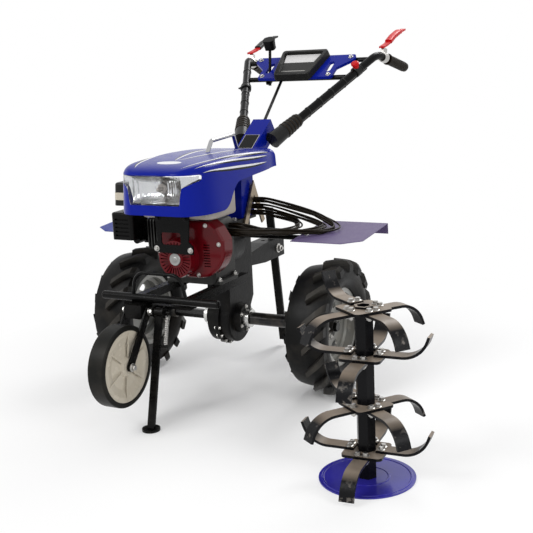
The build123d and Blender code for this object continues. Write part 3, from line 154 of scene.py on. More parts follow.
class Shade:
    """The node tree of one material or world, filled through a single node method."""

    def __init__(self, owner: bpy.types.Material | bpy.types.World) -> None:
        """Start an empty tree.

        Args:
            owner: the material or world that it belongs to.
        """
        self.owner = owner
        owner.use_nodes = True
        self.tree = owner.node_tree
        self.tree.nodes.clear()

    @classmethod
    def named(cls, name: str) -> "Shade":
        """Empty tree of a new material."""
        return cls(bpy.data.materials.new(name))

    def node(
        self,
        kind: str,
        settings: dict[str, Any] | None = None,
        sockets: dict[int | str, Any] | None = None,
        out: int | str = 0,
    ) -> Sock:
        """Add one node.

        Args:
            kind: the node's type.
            settings: its properties, set before its inputs.
            sockets: values or links for its inputs.
            out: the output that is handed back.

        Returns:
            The wrapped output socket, empty for a node that has none.
        """
        node = self.tree.nodes.new(kind)
        for key, value in (settings or {}).items():
            setattr(node, key, value)
        for key, value in (sockets or {}).items():
            if isinstance(value, Sock):
                self.tree.links.new(value.socket, node.inputs[key])
            elif isinstance(value, tuple) and len(value) == 3 and node.inputs[key].type == "RGBA":
                node.inputs[key].default_value = (*value, 1.0)
            else:
                node.inputs[key].default_value = value
        return Sock(self, node.outputs[out] if node.outputs else None)

    def place(self) -> Sock:
        """Point of the surface in the part's frame, in metres."""
        return self.node("ShaderNodeTexCoord", out="Object")

    def split(self, vector: Sock) -> tuple[Sock, ...]:
        """Three coordinates of a vector."""
        outputs = self.node("ShaderNodeSeparateXYZ", None, {0: vector}).socket.node.outputs
        return tuple(Sock(self, output) for output in outputs)

    def facing_up(self) -> Sock:
        """How far the surface faces up, from -1 to 1."""
        return self.split(self.node("ShaderNodeTexCoord", out="Normal"))[2]

    def background_ray(self) -> Sock:
        """Tell rays that show the background from those that light the scene.

        Returns:
            1 for straight rays, mirrored ones and those through glass, else 0.
        """
        outputs = ("Is Camera Ray", "Is Glossy Ray", "Is Transmission Ray")
        seen, mirrored, through = (self.node("ShaderNodeLightPath", out=out) for out in outputs)
        return seen.most(mirrored).most(through)

    def noise(self, scale: float, detail: float = 3.0, stretch: Place | None = None) -> Sock:
        """Cloudy value about one half.

        Args:
            scale: clouds per metre.
            detail: octaves of finer cloud.
            stretch: factors on the coordinates, for drawn-out marks.

        Returns:
            The cloud's value.
        """
        where = self.place()
        if stretch:
            where = self.node("ShaderNodeVectorMath", {"operation": "MULTIPLY"}, {0: where, 1: stretch})
        return self.node("ShaderNodeTexNoise", None, {"Vector": where, "Scale": scale, "Detail": detail})

    def mix(self, share: "Sock | float", low: "Sock | Colour", high: "Sock | Colour") -> Sock:
        """Colour between two others, by a share."""
        return self.node("ShaderNodeMix", {"data_type": "RGBA"}, {0: share, 6: low, 7: high}, 2)

    def bump(self, height: Sock, depth: float, strength: float = 1.0) -> Sock:
        """Normal of a relief whose height of 1 stands for a depth in metres."""
        sockets = {"Strength": strength, "Distance": depth, "Height": height}
        return self.node("ShaderNodeBump", None, sockets, "Normal")

    def surface(self, sockets: dict[str, Any]) -> bpy.types.Material:
        """Close the tree with a principled surface.

        Args:
            sockets: its values and links.

        Returns:
            The finished material.
        """
        shader = self.node("ShaderNodeBsdfPrincipled", None, sockets)
        self.node("ShaderNodeOutputMaterial", None, {0: shader})
        return self.owner


def shaded(colour: Colour, factor: float) -> Colour:
    """Colour made lighter or darker by a factor."""
    return tuple(min(1.0, channel * factor) for channel in colour)


@dataclass(frozen=True)
class Finish:
    """A finish: its colour and gloss, with the unevenness and dust that the real one shows.

    Clouds, smears and patches are each a number per metre and octaves of finer cloud.
    """

    name: str
    colour: Colour
    rough: float = 0.4
    rough_spread: float = 0.16
    metal: float = 0.0
    coat: float = 0.0
    coat_rough: float = 0.06
    tone: float = 0.1
    clouds: Pair = (11.0, 4.0)
    smears: Pair = (30.0, 4.0)
    grain: float = 350.0
    depth: float = 0.0004
    dust: float = 0.0
    dust_top: float = 0.5
    dust_colour: Colour = (0.26, 0.22, 0.17)
    dust_rough: float = 0.4
    patches: Pair = (24.0, 5.0)
    patch_edge: Pair = (0.42, 0.3)
    gloss: float = 0.5

    def base(self, shade: Shade) -> Sock:
        """Base colour, clouded by the finish's tone."""
        dark, light = shaded(self.colour, 1 - self.tone), shaded(self.colour, 1 + self.tone)
        return shade.mix(shade.noise(*self.clouds), dark, light)

    def relief(self, shade: Shade) -> Sock:
        """Fine relief of the surface."""
        return shade.noise(self.grain, 2.0)

    def soil(self, shade: Shade) -> Sock:
        """Share of dust, more of it near the floor."""
        low_down = shade.split(shade.place())[2].rise(self.dust_top, -self.dust_top)
        return shade.noise(*self.patches).rise(*self.patch_edge) * low_down * self.dust

    def sockets(self, shade: Shade) -> dict[str, Any]:
        """Work out the principled surface's values.

        Args:
            shade: the tree that they are made in.

        Returns:
            Values and links by the names of its inputs.
        """
        colour = self.base(shade)
        rough = shade.noise(*self.smears) * self.rough_spread + (self.rough - self.rough_spread / 2)
        if self.dust:
            soil = self.soil(shade)
            colour = shade.mix(soil, colour, self.dust_colour)
            rough = (rough + soil * self.dust_rough).least(0.95)
        return {
            "Base Color": colour,
            "Roughness": rough,
            "Metallic": self.metal,
            "Specular IOR Level": self.gloss,
            "Coat Weight": self.coat,
            "Coat Roughness": self.coat_rough,
            "Normal": shade.bump(self.relief(shade), self.depth),
        }

    def make(self) -> bpy.types.Material:
        """Build the material."""
        shade = Shade.named(self.name)
        return shade.surface(self.sockets(shade))


@dataclass(frozen=True)
class Stripe:
    """One tapered stripe along the hood, by its distance around from the crest line."""

    start: float
    end: float
    around_start: float
    around_end: float
    bow: float
    half: float
    taper: float = 0.6
    edge: float = 0.0008

    def mask(self, along: Sock, around: Sock, shift: float, share: float) -> Sock:
        """Share of the stripe's paint on the surface.

        Args:
            along: distance along the machine.
            around: distance over the hood from its crest.
            shift: offset of the stripe, in its own half-widths.
            share: width, as a share of the stripe's own.

        Returns:
            The mask.
        """
        place = along.rise(self.start, self.end - self.start)
        swell = (place * (1 - place) * 4.0).most(0.0001) ** self.taper
        centre = place * (self.around_end - self.around_start) + swell * self.bow + self.around_start
        half = swell * (self.half * share)
        return (half - abs(around - (centre + swell * (shift * self.half)))).rise(0.0, self.edge)


@dataclass(frozen=True)
class HoodPaint(Finish):
    """Gloss blue moulding with white and black stripes over its shoulders and a plain oval.

    Each lay of a stripe is its offset and its share of the stripe's width.
    """

    shift: Vector = field(default_factory=Vector)
    crest: float = 0.86
    stripes: tuple[Stripe, ...] = (
        Stripe(-0.300, 0.120, 0.006, 0.070, 0.012, 0.009),
        Stripe(-0.408, 0.100, 0.104, 0.158, 0.014, 0.0095),
        Stripe(-0.396, 0.070, 0.150, 0.178, 0.010, 0.007),
        Stripe(-0.380, 0.060, 0.184, 0.202, 0.010, 0.007),
    )
    black: Colour = (0.008, 0.008, 0.01)
    black_lay: Pair = (0.55, 1.05)
    white: Colour = (0.80, 0.80, 0.82)
    white_lay: Pair = (-0.1, 0.6)
    oval_white: Colour = (0.78, 0.78, 0.8)
    oval_at: float = -0.338
    oval_half: Pair = (0.046, 0.024)
    oval_above: float = 0.83

    def base(self, shade: Shade) -> Sock:
        """Blue, with each stripe's black edge and white, and the oval at the front.

        Args:
            shade: the tree that it is made in.

        Returns:
            The colour.
        """
        x, y, z = shade.split(shade.place())
        x, y = x - self.shift.x, y - self.shift.y
        around = abs(x) + (self.crest - z)
        colour = Finish.base(self, shade)
        for stripe in self.stripes:
            colour = shade.mix(stripe.mask(y, around, *self.black_lay), colour, self.black)
            colour = shade.mix(stripe.mask(y, around, *self.white_lay), colour, self.white)
        half_wide, half_long = self.oval_half
        oval = ((x / half_wide) ** 2.0 + ((y - self.oval_at) / half_long) ** 2.0).rise(1.0, -0.05)
        return shade.mix(oval * z.rise(self.oval_above, 0.004), colour, self.oval_white)


@dataclass(frozen=True)
class WheelFinish(Finish):
    """Finish that goes by the distance from a wheel's axle."""

    axle: Vector = field(default_factory=Vector)

    def radius(self, shade: Shade) -> Sock:
        """Distance from the axle."""
        _, y, z = shade.split(shade.place())
        return (y - self.axle.y).reach(z - self.axle.z)


@dataclass(frozen=True)
class TyreRubber(WheelFinish):
    """Black rubber with moulded rings on its flanks and dust between the bars."""

    patches: Pair = (16.0, 6.0)
    patch_edge: Pair = (0.46, 0.3)
    ring: float = 0.009
    tread: float = 0.216
    tread_deep: float = 0.022
    # grey of the bars' outer faces: rubbed wear together with a painted highlight
    rubbed_and_highlit: Colour = (0.045, 0.042, 0.037)
    rub_and_highlight_clouds: Pair = (40.0, 5.0)

    def base(self, shade: Shade) -> Sock:
        """Black rubber, greyer on the outer faces of the bars, partly from rubbing and partly as a painted
        highlight.
        """
        outer = self.radius(shade).rise(self.tread, self.tread_deep) * (shade.noise(*self.rub_and_highlight_clouds) * 0.6 + 0.4)
        return shade.mix(outer, Finish.base(self, shade), self.rubbed_and_highlit)

    def relief(self, shade: Shade) -> Sock:
        """Rings round the flank with the rubber's own grain."""
        rings = self.radius(shade).wave(self.ring).rise(0.2, 0.4)
        return rings * 0.4 + shade.noise(self.grain, 3.0) * 0.6

    def soil(self, shade: Shade) -> Sock:
        """Dust in patches all round the tyre."""
        return shade.noise(*self.patches).rise(*self.patch_edge) * self.dust


@dataclass(frozen=True)
class WheelSteel(WheelFinish):
    """Silver-grey painted rim whose hub is painted black."""

    hub: float = 0.05
    hub_colour: Colour = (0.015, 0.015, 0.016)

    def base(self, shade: Shade) -> Sock:
        """Grey outside the hub, black on it."""
        on_hub = self.radius(shade).rise(self.hub, -0.001)
        return shade.mix(on_hub, Finish.base(self, shade), self.hub_colour)


@dataclass(frozen=True)
class DrawnSteel(Finish):
    """Steel with marks drawn along one direction, bright near the middle and blackened past it."""

    stretch: Place = (1.0, 1.0, 1.0)
    middle: float = 0.0
    bright: float = 0.098
    black: Colour = (0.012, 0.012, 0.012)

    def base(self, shade: Shade) -> Sock:
        """Bright steel within its reach of the middle, black outside."""
        outside = abs(shade.split(shade.place())[0] - self.middle).rise(self.bright, 0.001)
        return shade.mix(outside, Finish.base(self, shade), self.black)

    def relief(self, shade: Shade) -> Sock:
        """Drawn-out scratches."""
        return shade.noise(self.grain, 3.0, self.stretch)


@dataclass(frozen=True)
class WornPaintPaintedReflection(Finish):
    """Gloss black paint scuffed far from an upright axis, with a painted tan reflection on its upper faces.
    """

    axis: Vector = field(default_factory=Vector)
    worn_from: float = 0.15
    worn_over: float = 0.05
    worn_colour: Colour = (0.30, 0.27, 0.24)
    scuffs: Pair = (60.0, 6.0)
    # strength of the painted tan reflection on faces that look up
    top_reflection_share: float = 0.8
    top_reflection_clouds: Pair = (14.0, 5.0)
    top_reflection_colour: Colour = (0.42, 0.34, 0.265)

    def sockets(self, shade: Shade) -> dict[str, Any]:
        """Lay scuffs, and a painted reflection on the upper faces, over the plain paint.

        Args:
            shade: the tree that they are made in.

        Returns:
            Values and links by the names of the surface's inputs.
        """
        x, y, _ = shade.split(shade.place())
        far_out = (x - self.axis.x).reach(y - self.axis.y).rise(self.worn_from, self.worn_over)
        worn = far_out * shade.noise(*self.scuffs).rise(0.6, 0.06) * 0.5
        # painted reflection: faces that look up are drawn lighter and tan, in patches
        top_reflection_patches = shade.noise(*self.top_reflection_clouds) * 0.7 + 0.3
        top_reflection_mask = shade.facing_up().rise(0.76, 0.2) * top_reflection_patches * self.top_reflection_share
        sockets = Finish.sockets(self, shade)
        scuffed = shade.mix(worn, sockets["Base Color"], self.worn_colour)
        sockets["Base Color"] = shade.mix(top_reflection_mask, scuffed, self.top_reflection_colour)
        sockets["Roughness"] = sockets["Roughness"] + worn * 0.15 + top_reflection_mask * 0.25
        sockets["Metallic"] = worn * 0.9
        return sockets


@dataclass(frozen=True)
class SidedPaint(Finish):
    """Paint of a pair of pieces, the right one in another colour from a line back."""

    right: Colour = (0.0, 0.0, 0.0)
    middle: float = 0.0
    line: float = -10.0

    def base(self, shade: Shade) -> Sock:
        """Left colour, with the right one behind the line on the right.

        Args:
            shade: the tree that it is made in.

        Returns:
            The colour.
        """
        x, y, _ = shade.split(shade.place())
        share = x.rise(self.middle, -0.001) * y.rise(self.line, 0.001)
        return shade.mix(share, Finish.base(self, shade), self.right)


@dataclass(frozen=True)
class FlutedMirror(Finish):
    """Lamp mirror pressed in upright flutes."""

    flute: float = 0.011
    band: float = 0.0286

    def relief(self, shade: Shade) -> Sock:
        """Upright flutes, crossed by wider level bands."""
        x, _, z = shade.split(shade.place())
        return x.wave(self.flute) * 0.7 + z.wave(self.band) * 0.3


@dataclass(frozen=True)
class LampGlass(Finish):
    """Clear lamp glass with upright flutes moulded inside it."""

    flute: float = 0.007
    flute_shows: float = 0.25
    bending: float = 1.25

    def sockets(self, shade: Shade) -> dict[str, Any]:
        """Work out the glass surface's values.

        Args:
            shade: the tree that they are made in.

        Returns:
            Values and links by the names of its inputs.
        """
        flutes = shade.split(shade.place())[0].wave(self.flute)
        return {
            "Base Color": self.colour,
            "Roughness": self.rough,
            "IOR": self.bending,
            "Transmission Weight": 1.0,
            "Normal": shade.bump(flutes, self.depth, self.flute_shows),
        }


def square_to(axis: Vector) -> tuple[Vector, Vector]:
    """Two unit directions square to an axis and to each other.

    Args:
        axis: the axis, of any length.

    Returns:
        The two directions.
    """
    guide = UP if abs(axis.normalized().z) < 0.9 else LEFT
    side = axis.cross(guide).normalized()
    return side, axis.normalized().cross(side)


def circle(
    centre: Vector, side: Vector, across: Vector, radius: float, steps: int, start: float = 0.0
) -> list[Vector]:
    """Points spaced round a circle.

    Args:
        centre: its middle.
        side: direction that angles are counted from.
        across: direction a quarter turn on.
        radius: its radius.
        steps: number of points.
        start: angle of the first one, in radians.

    Returns:
        The points.
    """
    angles = [start + 2 * math.pi * k / steps for k in range(steps)]
    return [centre + (side * math.cos(a) + across * math.sin(a)) * radius for a in angles]


def section(wide: float, thick: float, sides: int, power: float = 1.0) -> list[Pair]:
    """Closed section of a bar.

    Args:
        wide: its width.
        thick: its thickness.
        sides: number of its corners.
        power: 1 for an ellipse, less for a shape nearer to a box.

    Returns:
        Its corners, across and over its middle.
    """
    corners = []
    for k in range(sides):
        turn = 2 * math.pi * k / sides
        c, s = (math.copysign(abs(v) ** power, v) for v in (math.cos(turn), math.sin(turn)))
        corners.append((c * wide / 2, s * thick / 2))
    return corners


def curve(knots: Sequence[Vector], steps: int) -> list[Vector]:
    """Smooth path through knots.

    Args:
        knots: points that it passes.
        steps: points for each stretch between two knots.

    Returns:
        The path's points.
    """
    path = []
    last = len(knots) - 1
    for k in range(last):
        before, start, end, after = (knots[min(max(i, 0), last)] for i in range(k - 1, k + 3))
        for step in range(steps):
            t = step / steps
            bend = 2 * before - 5 * start + 4 * end - after + (3 * start - before - 3 * end + after) * t
            path.append(start + (end - before + bend * t) * t / 2)
    return [*path, knots[-1]]


def between(stations: Sequence[Pair], place: float) -> float:
    """Value at a place between stations, by straight lines.

    Args:
        stations: places in rising order, each with its value.
        place: where the value is wanted.

    Returns:
        The value.
    """
    for (near, low), (far, high) in zip(stations, stations[1:]):
        if place <= far:
            return low + (high - low) * (place - near) / (far - near)
    return stations[-1][1]


class Forge:
    """Collects mesh forms in the part's frame and turns them into one object."""

    def __init__(self) -> None:
        """Start with no forms."""
        self.mesh = bmesh.new()

    def face(self, outline: Sequence[Vector]) -> None:
        """Fill one flat outline."""
        self.mesh.faces.new([self.mesh.verts.new(point) for point in outline])

    def skin(self, rings: Sequence[Sequence[Vector]], loop: bool = True, caps: bool = True) -> None:
        """Join rings of points with faces.

        Args:
            rings: rows of as many points each.
            loop: whether each row closes on itself.
            caps: whether the first and last rows are filled.
        """
        rows = [[self.mesh.verts.new(point) for point in ring] for ring in rings]
        for low, high in zip(rows, rows[1:]):
            count = len(low)
            for i in range(count if loop else count - 1):
                j = (i + 1) % count
                self.mesh.faces.new((low[i], low[j], high[j], high[i]))
        if caps:
            self.mesh.faces.new(rows[0][::-1])
            self.mesh.faces.new(rows[-1])

    def lathe(
        self, profile: Sequence[Pair], base: Vector, axis: Vector, steps: int = 24, caps: bool = True
    ) -> None:
        """Turn a profile about an axis.

        Args:
            profile: distance along the axis and radius, from end to end.
            base: point on the axis where the distance is 0.
            axis: its direction.
            steps: faces round it.
            caps: whether its two ends are filled.
        """
        axis = axis.normalized()
        side, across = square_to(axis)
        rings = [circle(base + axis * along, side, across, radius, steps) for along, radius in profile]
        self.skin(rings, caps=caps)

    def bar(self, path: Sequence[Vector], corners: Sequence[Pair], side: Vector | None = None) -> None:
        """Bar along a path.

        Args:
            path: points of its middle line.
            corners: its section, across and over the path.
            side: direction of the section's width at the start, any where none is given.
        """
        if side is None:
            side = square_to(path[1] - path[0])[0]
        rings = []
        for k, point in enumerate(path):
            ahead = (path[min(k + 1, len(path) - 1)] - path[max(k - 1, 0)]).normalized()
            side = (side - ahead * side.dot(ahead)).normalized()
            over = ahead.cross(side)
            rings.append([point + side * wide + over * thick for wide, thick in corners])
        self.skin(rings)

    def ring(self, base: Vector, axis: Vector, inner: float, outer: float, long: float) -> None:
        """Collar with rounded edges about an axis.

        Args:
            base: its middle point on the axis.
            axis: direction of the axis.
            inner: radius that it is seated on.
            outer: its own radius.
            long: its length along the axis.
        """
        half, edge = long / 2, min(long, outer - inner) * 0.3
        front = [(-half, inner), (-half, outer - edge), (edge - half, outer)]
        self.lathe([*front, *((-along, radius) for along, radius in reversed(front))], base, axis, 28)

    def slab(self, outline: Sequence[Vector], rise: Vector, bevel: float) -> None:
        """Flat plate with its upper edge taken off.

        Args:
            outline: corners of its lower face.
            rise: from the lower face to the upper.
            bevel: how far the upper edge is drawn in.
        """
        middle = sum(outline, Vector()) / len(outline)
        drawn = [point + (middle - point).normalized() * bevel + rise for point in outline]
        shoulder = [point + rise * (1 - min(0.9, bevel / rise.length)) for point in outline]
        self.skin([outline, shoulder, drawn])

    def bolt(self, seat: Vector, axis: Vector, across: float, stub: float = 0.0) -> None:
        """Six-sided head on a washer, each in proportion to its width across flats.

        Args:
            seat: point on the surface under it.
            axis: direction that the head points.
            across: its width across flats.
            stub: length of thread that stands past it.
        """
        washer, thick = across * 0.84, across * 0.14
        corner, top = across / math.sqrt(3), thick + across * 0.55
        self.lathe([(0, washer), (thick * 0.8, washer), (thick, across * 0.78)], seat, axis, 20)
        self.lathe([(thick, corner), (top - across * 0.08, corner), (top, corner * 0.84)], seat, axis, 6)
        if stub:
            thread, end = across * 0.3, top + stub
            self.lathe([(top, thread), (end, thread), (end + 0.0008, thread * 0.8)], seat, axis, 12)

    def bolts(self, seats: Iterable[Vector], axis: Vector, across: float, stub: float = 0.0) -> None:
        """Bolts of one size that all point the same way, on their seats."""
        for seat in seats:
            self.bolt(seat, axis, across, stub)

    def part(self, name: str, material: bpy.types.Material, sharp_deg: float = CRISP_DEG) -> bpy.types.Object:
        """Turn the forms into one object.

        Args:
            name: the object's name.
            material: its finish.
            sharp_deg: edges sharper than this stay crisp.

        Returns:
            The object.
        """
        bmesh.ops.recalc_face_normals(self.mesh, faces=self.mesh.faces)
        data = bpy.data.meshes.new(name)
        self.mesh.to_mesh(data)
        self.mesh.free()
        data.shade_smooth()
        data.set_sharp_from_angle(angle=math.radians(sharp_deg))
        data.materials.append(material)
        made = bpy.data.objects.new(name, data)
        bpy.context.scene.collection.objects.link(made)
        log.info("%s: %d faces", name, len(data.polygons))
        return made


@dataclass
class Layout:
    """The machine's own coordinates: left, back and up from the floor between its wheels, in mm."""

    frame: dict[str, Any]
    clamp_half: float = 76.0
    bend: Place = (300.0, 794.0, 1163.0)
    grip_end: Place = (338.0, 1009.0, 1105.0)

    def __post_init__(self) -> None:
        """Find the axle, and the slope of the handlebar from its pivot to its bends."""
        self.axle = (self.joint("left_wheel_spin") + self.joint("right_wheel_spin")) / 2
        self.shift = Vector((self.axle.x, self.axle.y, 0))
        self.pivot = self.joint("handlebar_tilt")
        climb = self.at(0, *self.bend[1:]) - self.pivot
        self.reach = climb.length / MM
        self.slope = climb.normalized()
        self.above = LEFT.cross(self.slope)

    def joint(self, name: str) -> Vector:
        """Place of a joint in the part's frame."""
        return Vector(next(joint["pos_m"] for joint in self.frame["joints"] if joint["name"] == name))

    def at(self, x: float, y: float, z: float) -> Vector:
        """Point of the machine in the part's frame."""
        return self.shift + Vector((x, y, z)) * MM

    def on_handle(self, u: float, v: float, n: float = 0.0) -> Vector:
        """Point of the handlebar: across it, up its slope, and above it."""
        return self.pivot + (LEFT * u + self.slope * v + self.above * n) * MM

    def on_tube(self, side: int, v: float) -> Vector:
        """Point in a handlebar tube, up its slope."""
        return self.on_handle(side * (self.clamp_half + (self.bend[0] - self.clamp_half) * v / self.reach), v)

    def tube_heading(self, side: int) -> Vector:
        """Direction of a handlebar tube from its clamp to its bend."""
        return (self.on_tube(side, self.reach) - self.on_tube(side, 0)).normalized()

    def grip(self, side: int) -> tuple[Vector, Vector, Vector]:
        """Bend of a handlebar tube, the end of its grip and the direction between them.

        Args:
            side: 1 for the left, -1 for the right.

        Returns:
            The two points and the direction.
        """
        bend, end = (self.at(side * x, y, z) for x, y, z in (self.bend, self.grip_end))
        return bend, end, (end - bend).normalized()


class Tone(Enum):
    """Finishes that several assemblies share."""

    BLACK = Finish(
        "satin_black_paint", (0.003, 0.003, 0.003), 0.26, grain=420, depth=0.0002, dust=0.05, gloss=0.1
    )
    CASTING = Finish(
        "black_casting", (0.004, 0.004, 0.004), 0.38, tone=0.2, grain=160, depth=0.0009, dust=0.06, gloss=0.12
    )
    BLUE = Finish(
        "blue_enamel", (0.002, 0.010, 0.24), 0.22, coat=0.03, tone=0.06, grain=300, depth=0.0001, gloss=0.08
    )
    # violet of the left fender: painted glare over the fenders' blue enamel
    FENDER_GLARE = Finish("fender_enamel_left_glare", (0.12, 0.09, 0.19), 0.36, tone=0.06, grain=300, depth=0.0002, gloss=0.1)
    DISC = Finish(
        "disc_enamel", (0.028, 0.024, 0.32), 0.18, coat=0.25, tone=0.1, grain=200, depth=0.0002, gloss=0.3
    )
    RED = Finish(
        "red_enamel", (0.10, 0.002, 0.005), 0.2, coat=0.12, tone=0.08, grain=300, depth=0.0001, gloss=0.15
    )
    LEVER_RED = Finish("lever_red", (0.50, 0.004, 0.006), tone=0.06, grain=300, depth=0.00003, gloss=0.15)
    CHROME = Finish("chrome_plate", (0.40, 0.40, 0.41), 0.14, metal=1.0, tone=0.03, grain=900, depth=0.00005)
    ZINC = Finish("zinc_plate", (0.46, 0.45, 0.43), 0.32, metal=1.0, tone=0.12, grain=700, depth=0.0001)
    # tan of the post struts: painted reflection on zinc plate
    ZINC_TAN_REFLECTION = Finish(
        "zinc_plate_tan_reflection", (0.30, 0.24, 0.17), 0.36, metal=0.8, tone=0.15, grain=700, depth=0.0001
    )
    CHARCOAL = Finish(
        "charcoal_moulding", (0.010, 0.010, 0.0095), 0.34, tone=0.1, grain=900, depth=0.0001, gloss=0.18
    )
    RUBBER = Finish(
        "grip_rubber", (0.012, 0.008, 0.004), 0.42, tone=0.12, grain=1100, depth=0.0002, gloss=0.15
    )
    TANK = Finish("tank_moulding", (0.34, 0.31, 0.28), 0.44, tone=0.06, grain=600, depth=0.0002, gloss=0.3)
    CREAM = Finish("cream_moulding", (0.52, 0.47, 0.38), 0.26, tone=0.04, grain=700, depth=0.0001, gloss=0.4)
    ALLOY = Finish("cast_alloy", (0.05, 0.05, 0.048), 0.48, metal=0.9, tone=0.15, grain=240, depth=0.0008)
    BRUSHED = Finish("brushed_steel", (0.36, 0.36, 0.35), 0.36, metal=0.9, tone=0.2, grain=900, depth=0.0002)
    WHITE = Finish(
        "plain_white_plate", (0.66, 0.65, 0.65), 0.3, tone=0.02, grain=400, depth=0.0001, gloss=0.3
    )
    MIRROR = FlutedMirror("lamp_mirror", (0.62, 0.62, 0.61), 0.2, metal=1.0, tone=0.05, depth=0.0012)
    GLASS = LampGlass("lamp_glass", (0.97, 0.98, 1.0), 0.02)


class Paintbox:
    """Makes each finish once and lays it on CAD nodes."""

    def __init__(self, frame: dict[str, Any]) -> None:
        """Keep the frame whose nodes are dressed."""
        self.frame = frame
        self.made: dict[str, bpy.types.Material] = {}

    def material(self, finish: Tone | Finish) -> bpy.types.Material:
        """Material of a finish, made on first use.

        Args:
            finish: the finish.

        Returns:
            Its material.
        """
        finish = finish.value if isinstance(finish, Tone) else finish
        if finish.name not in self.made:
            self.made[finish.name] = finish.make()
        return self.made[finish.name]

    def dress(self, finish: Tone | Finish, *nodes: str) -> None:
        """Lay a finish on CAD nodes.

        Args:
            finish: the finish.
            nodes: the nodes that take it.
        """
        material = self.material(finish)
        for node in nodes:
            slots = self.frame["nodes"][node].data.materials
            slots.clear()
            slots.append(material)
        log.info("finish %s on %s", material.name, ", ".join(nodes))


@dataclass
class Assembly:
    """A sub-assembly of the machine, which dresses its CAD nodes and adds pieces to them."""

    layout: Layout
    paint: Paintbox

    def dress(self) -> None:
        """Lay finishes on the CAD nodes."""
        raise NotImplementedError

    def build(self) -> None:
        """Make the added pieces."""
        raise NotImplementedError

    def at(self, x: float, y: float, z: float) -> Vector:
        """Point of the machine in the part's frame."""
        return self.layout.at(x, y, z)

    def cast(
        self, forge: Forge, name: str, finish: Tone, body: str = "chassis", sharp_deg: float = CRISP_DEG
    ) -> bpy.types.Object:
        """Turn a forge's forms into one piece that rides on a CAD body.

        Args:
            forge: the forms.
            name: the piece's name.
            finish: its finish.
            body: the body that carries it.
            sharp_deg: edges sharper than this stay crisp.

        Returns:
            The piece.
        """
        piece = forge.part(name, self.paint.material(finish), sharp_deg)
        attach(piece, body)
        return piece


@dataclass
class RoadWheels(Assembly):
    """Two lugged wheels on their half axles, with the hub bolts."""

    disc_face: float = 0.409
    bolt_ring: float = 0.037
    bolt_count: int = 5
    bolt: float = 0.013
    thread: float = 0.003

    def dress(self) -> None:
        """Lay rubber, rim paint and bright steel on the wheels."""
        axle = self.layout.axle
        rubber = TyreRubber(
            "tyre_rubber", (0.004, 0.004, 0.004), 0.42, tone=0.2, grain=500, dust=0.06, gloss=0.12, axle=axle
        )
        rim = WheelSteel("rim_paint", (0.26, 0.26, 0.245), 0.34, metal=0.6, coat=0.2, dust=0.5, axle=axle)
        steel = DrawnSteel(
            "axle_steel", (0.62, 0.62, 0.60), 0.26, metal=1.0, grain=300, depth=0.0002,
            stretch=(0.1, 1.0, 1.0), middle=axle.x,
        )
        for finish, piece in ((rubber, "tyre"), (rim, "rim"), (steel, "axle")):
            self.paint.dress(finish, f"{piece}_left", f"{piece}_right")

    def build(self) -> None:
        """Bolt each rim to its hub."""
        half_step = math.pi / self.bolt_count
        for side, body in zip(SIDES, ("left_wheel", "right_wheel")):
            out = LEFT * side
            centre = self.layout.axle + out * self.disc_face
            seats = circle(centre, BACK, UP, self.bolt_ring, self.bolt_count, half_step)
            forge = Forge()
            forge.bolts(seats, out, self.bolt, self.thread)
            self.cast(forge, f"{body}_bolts", Tone.ZINC, body)


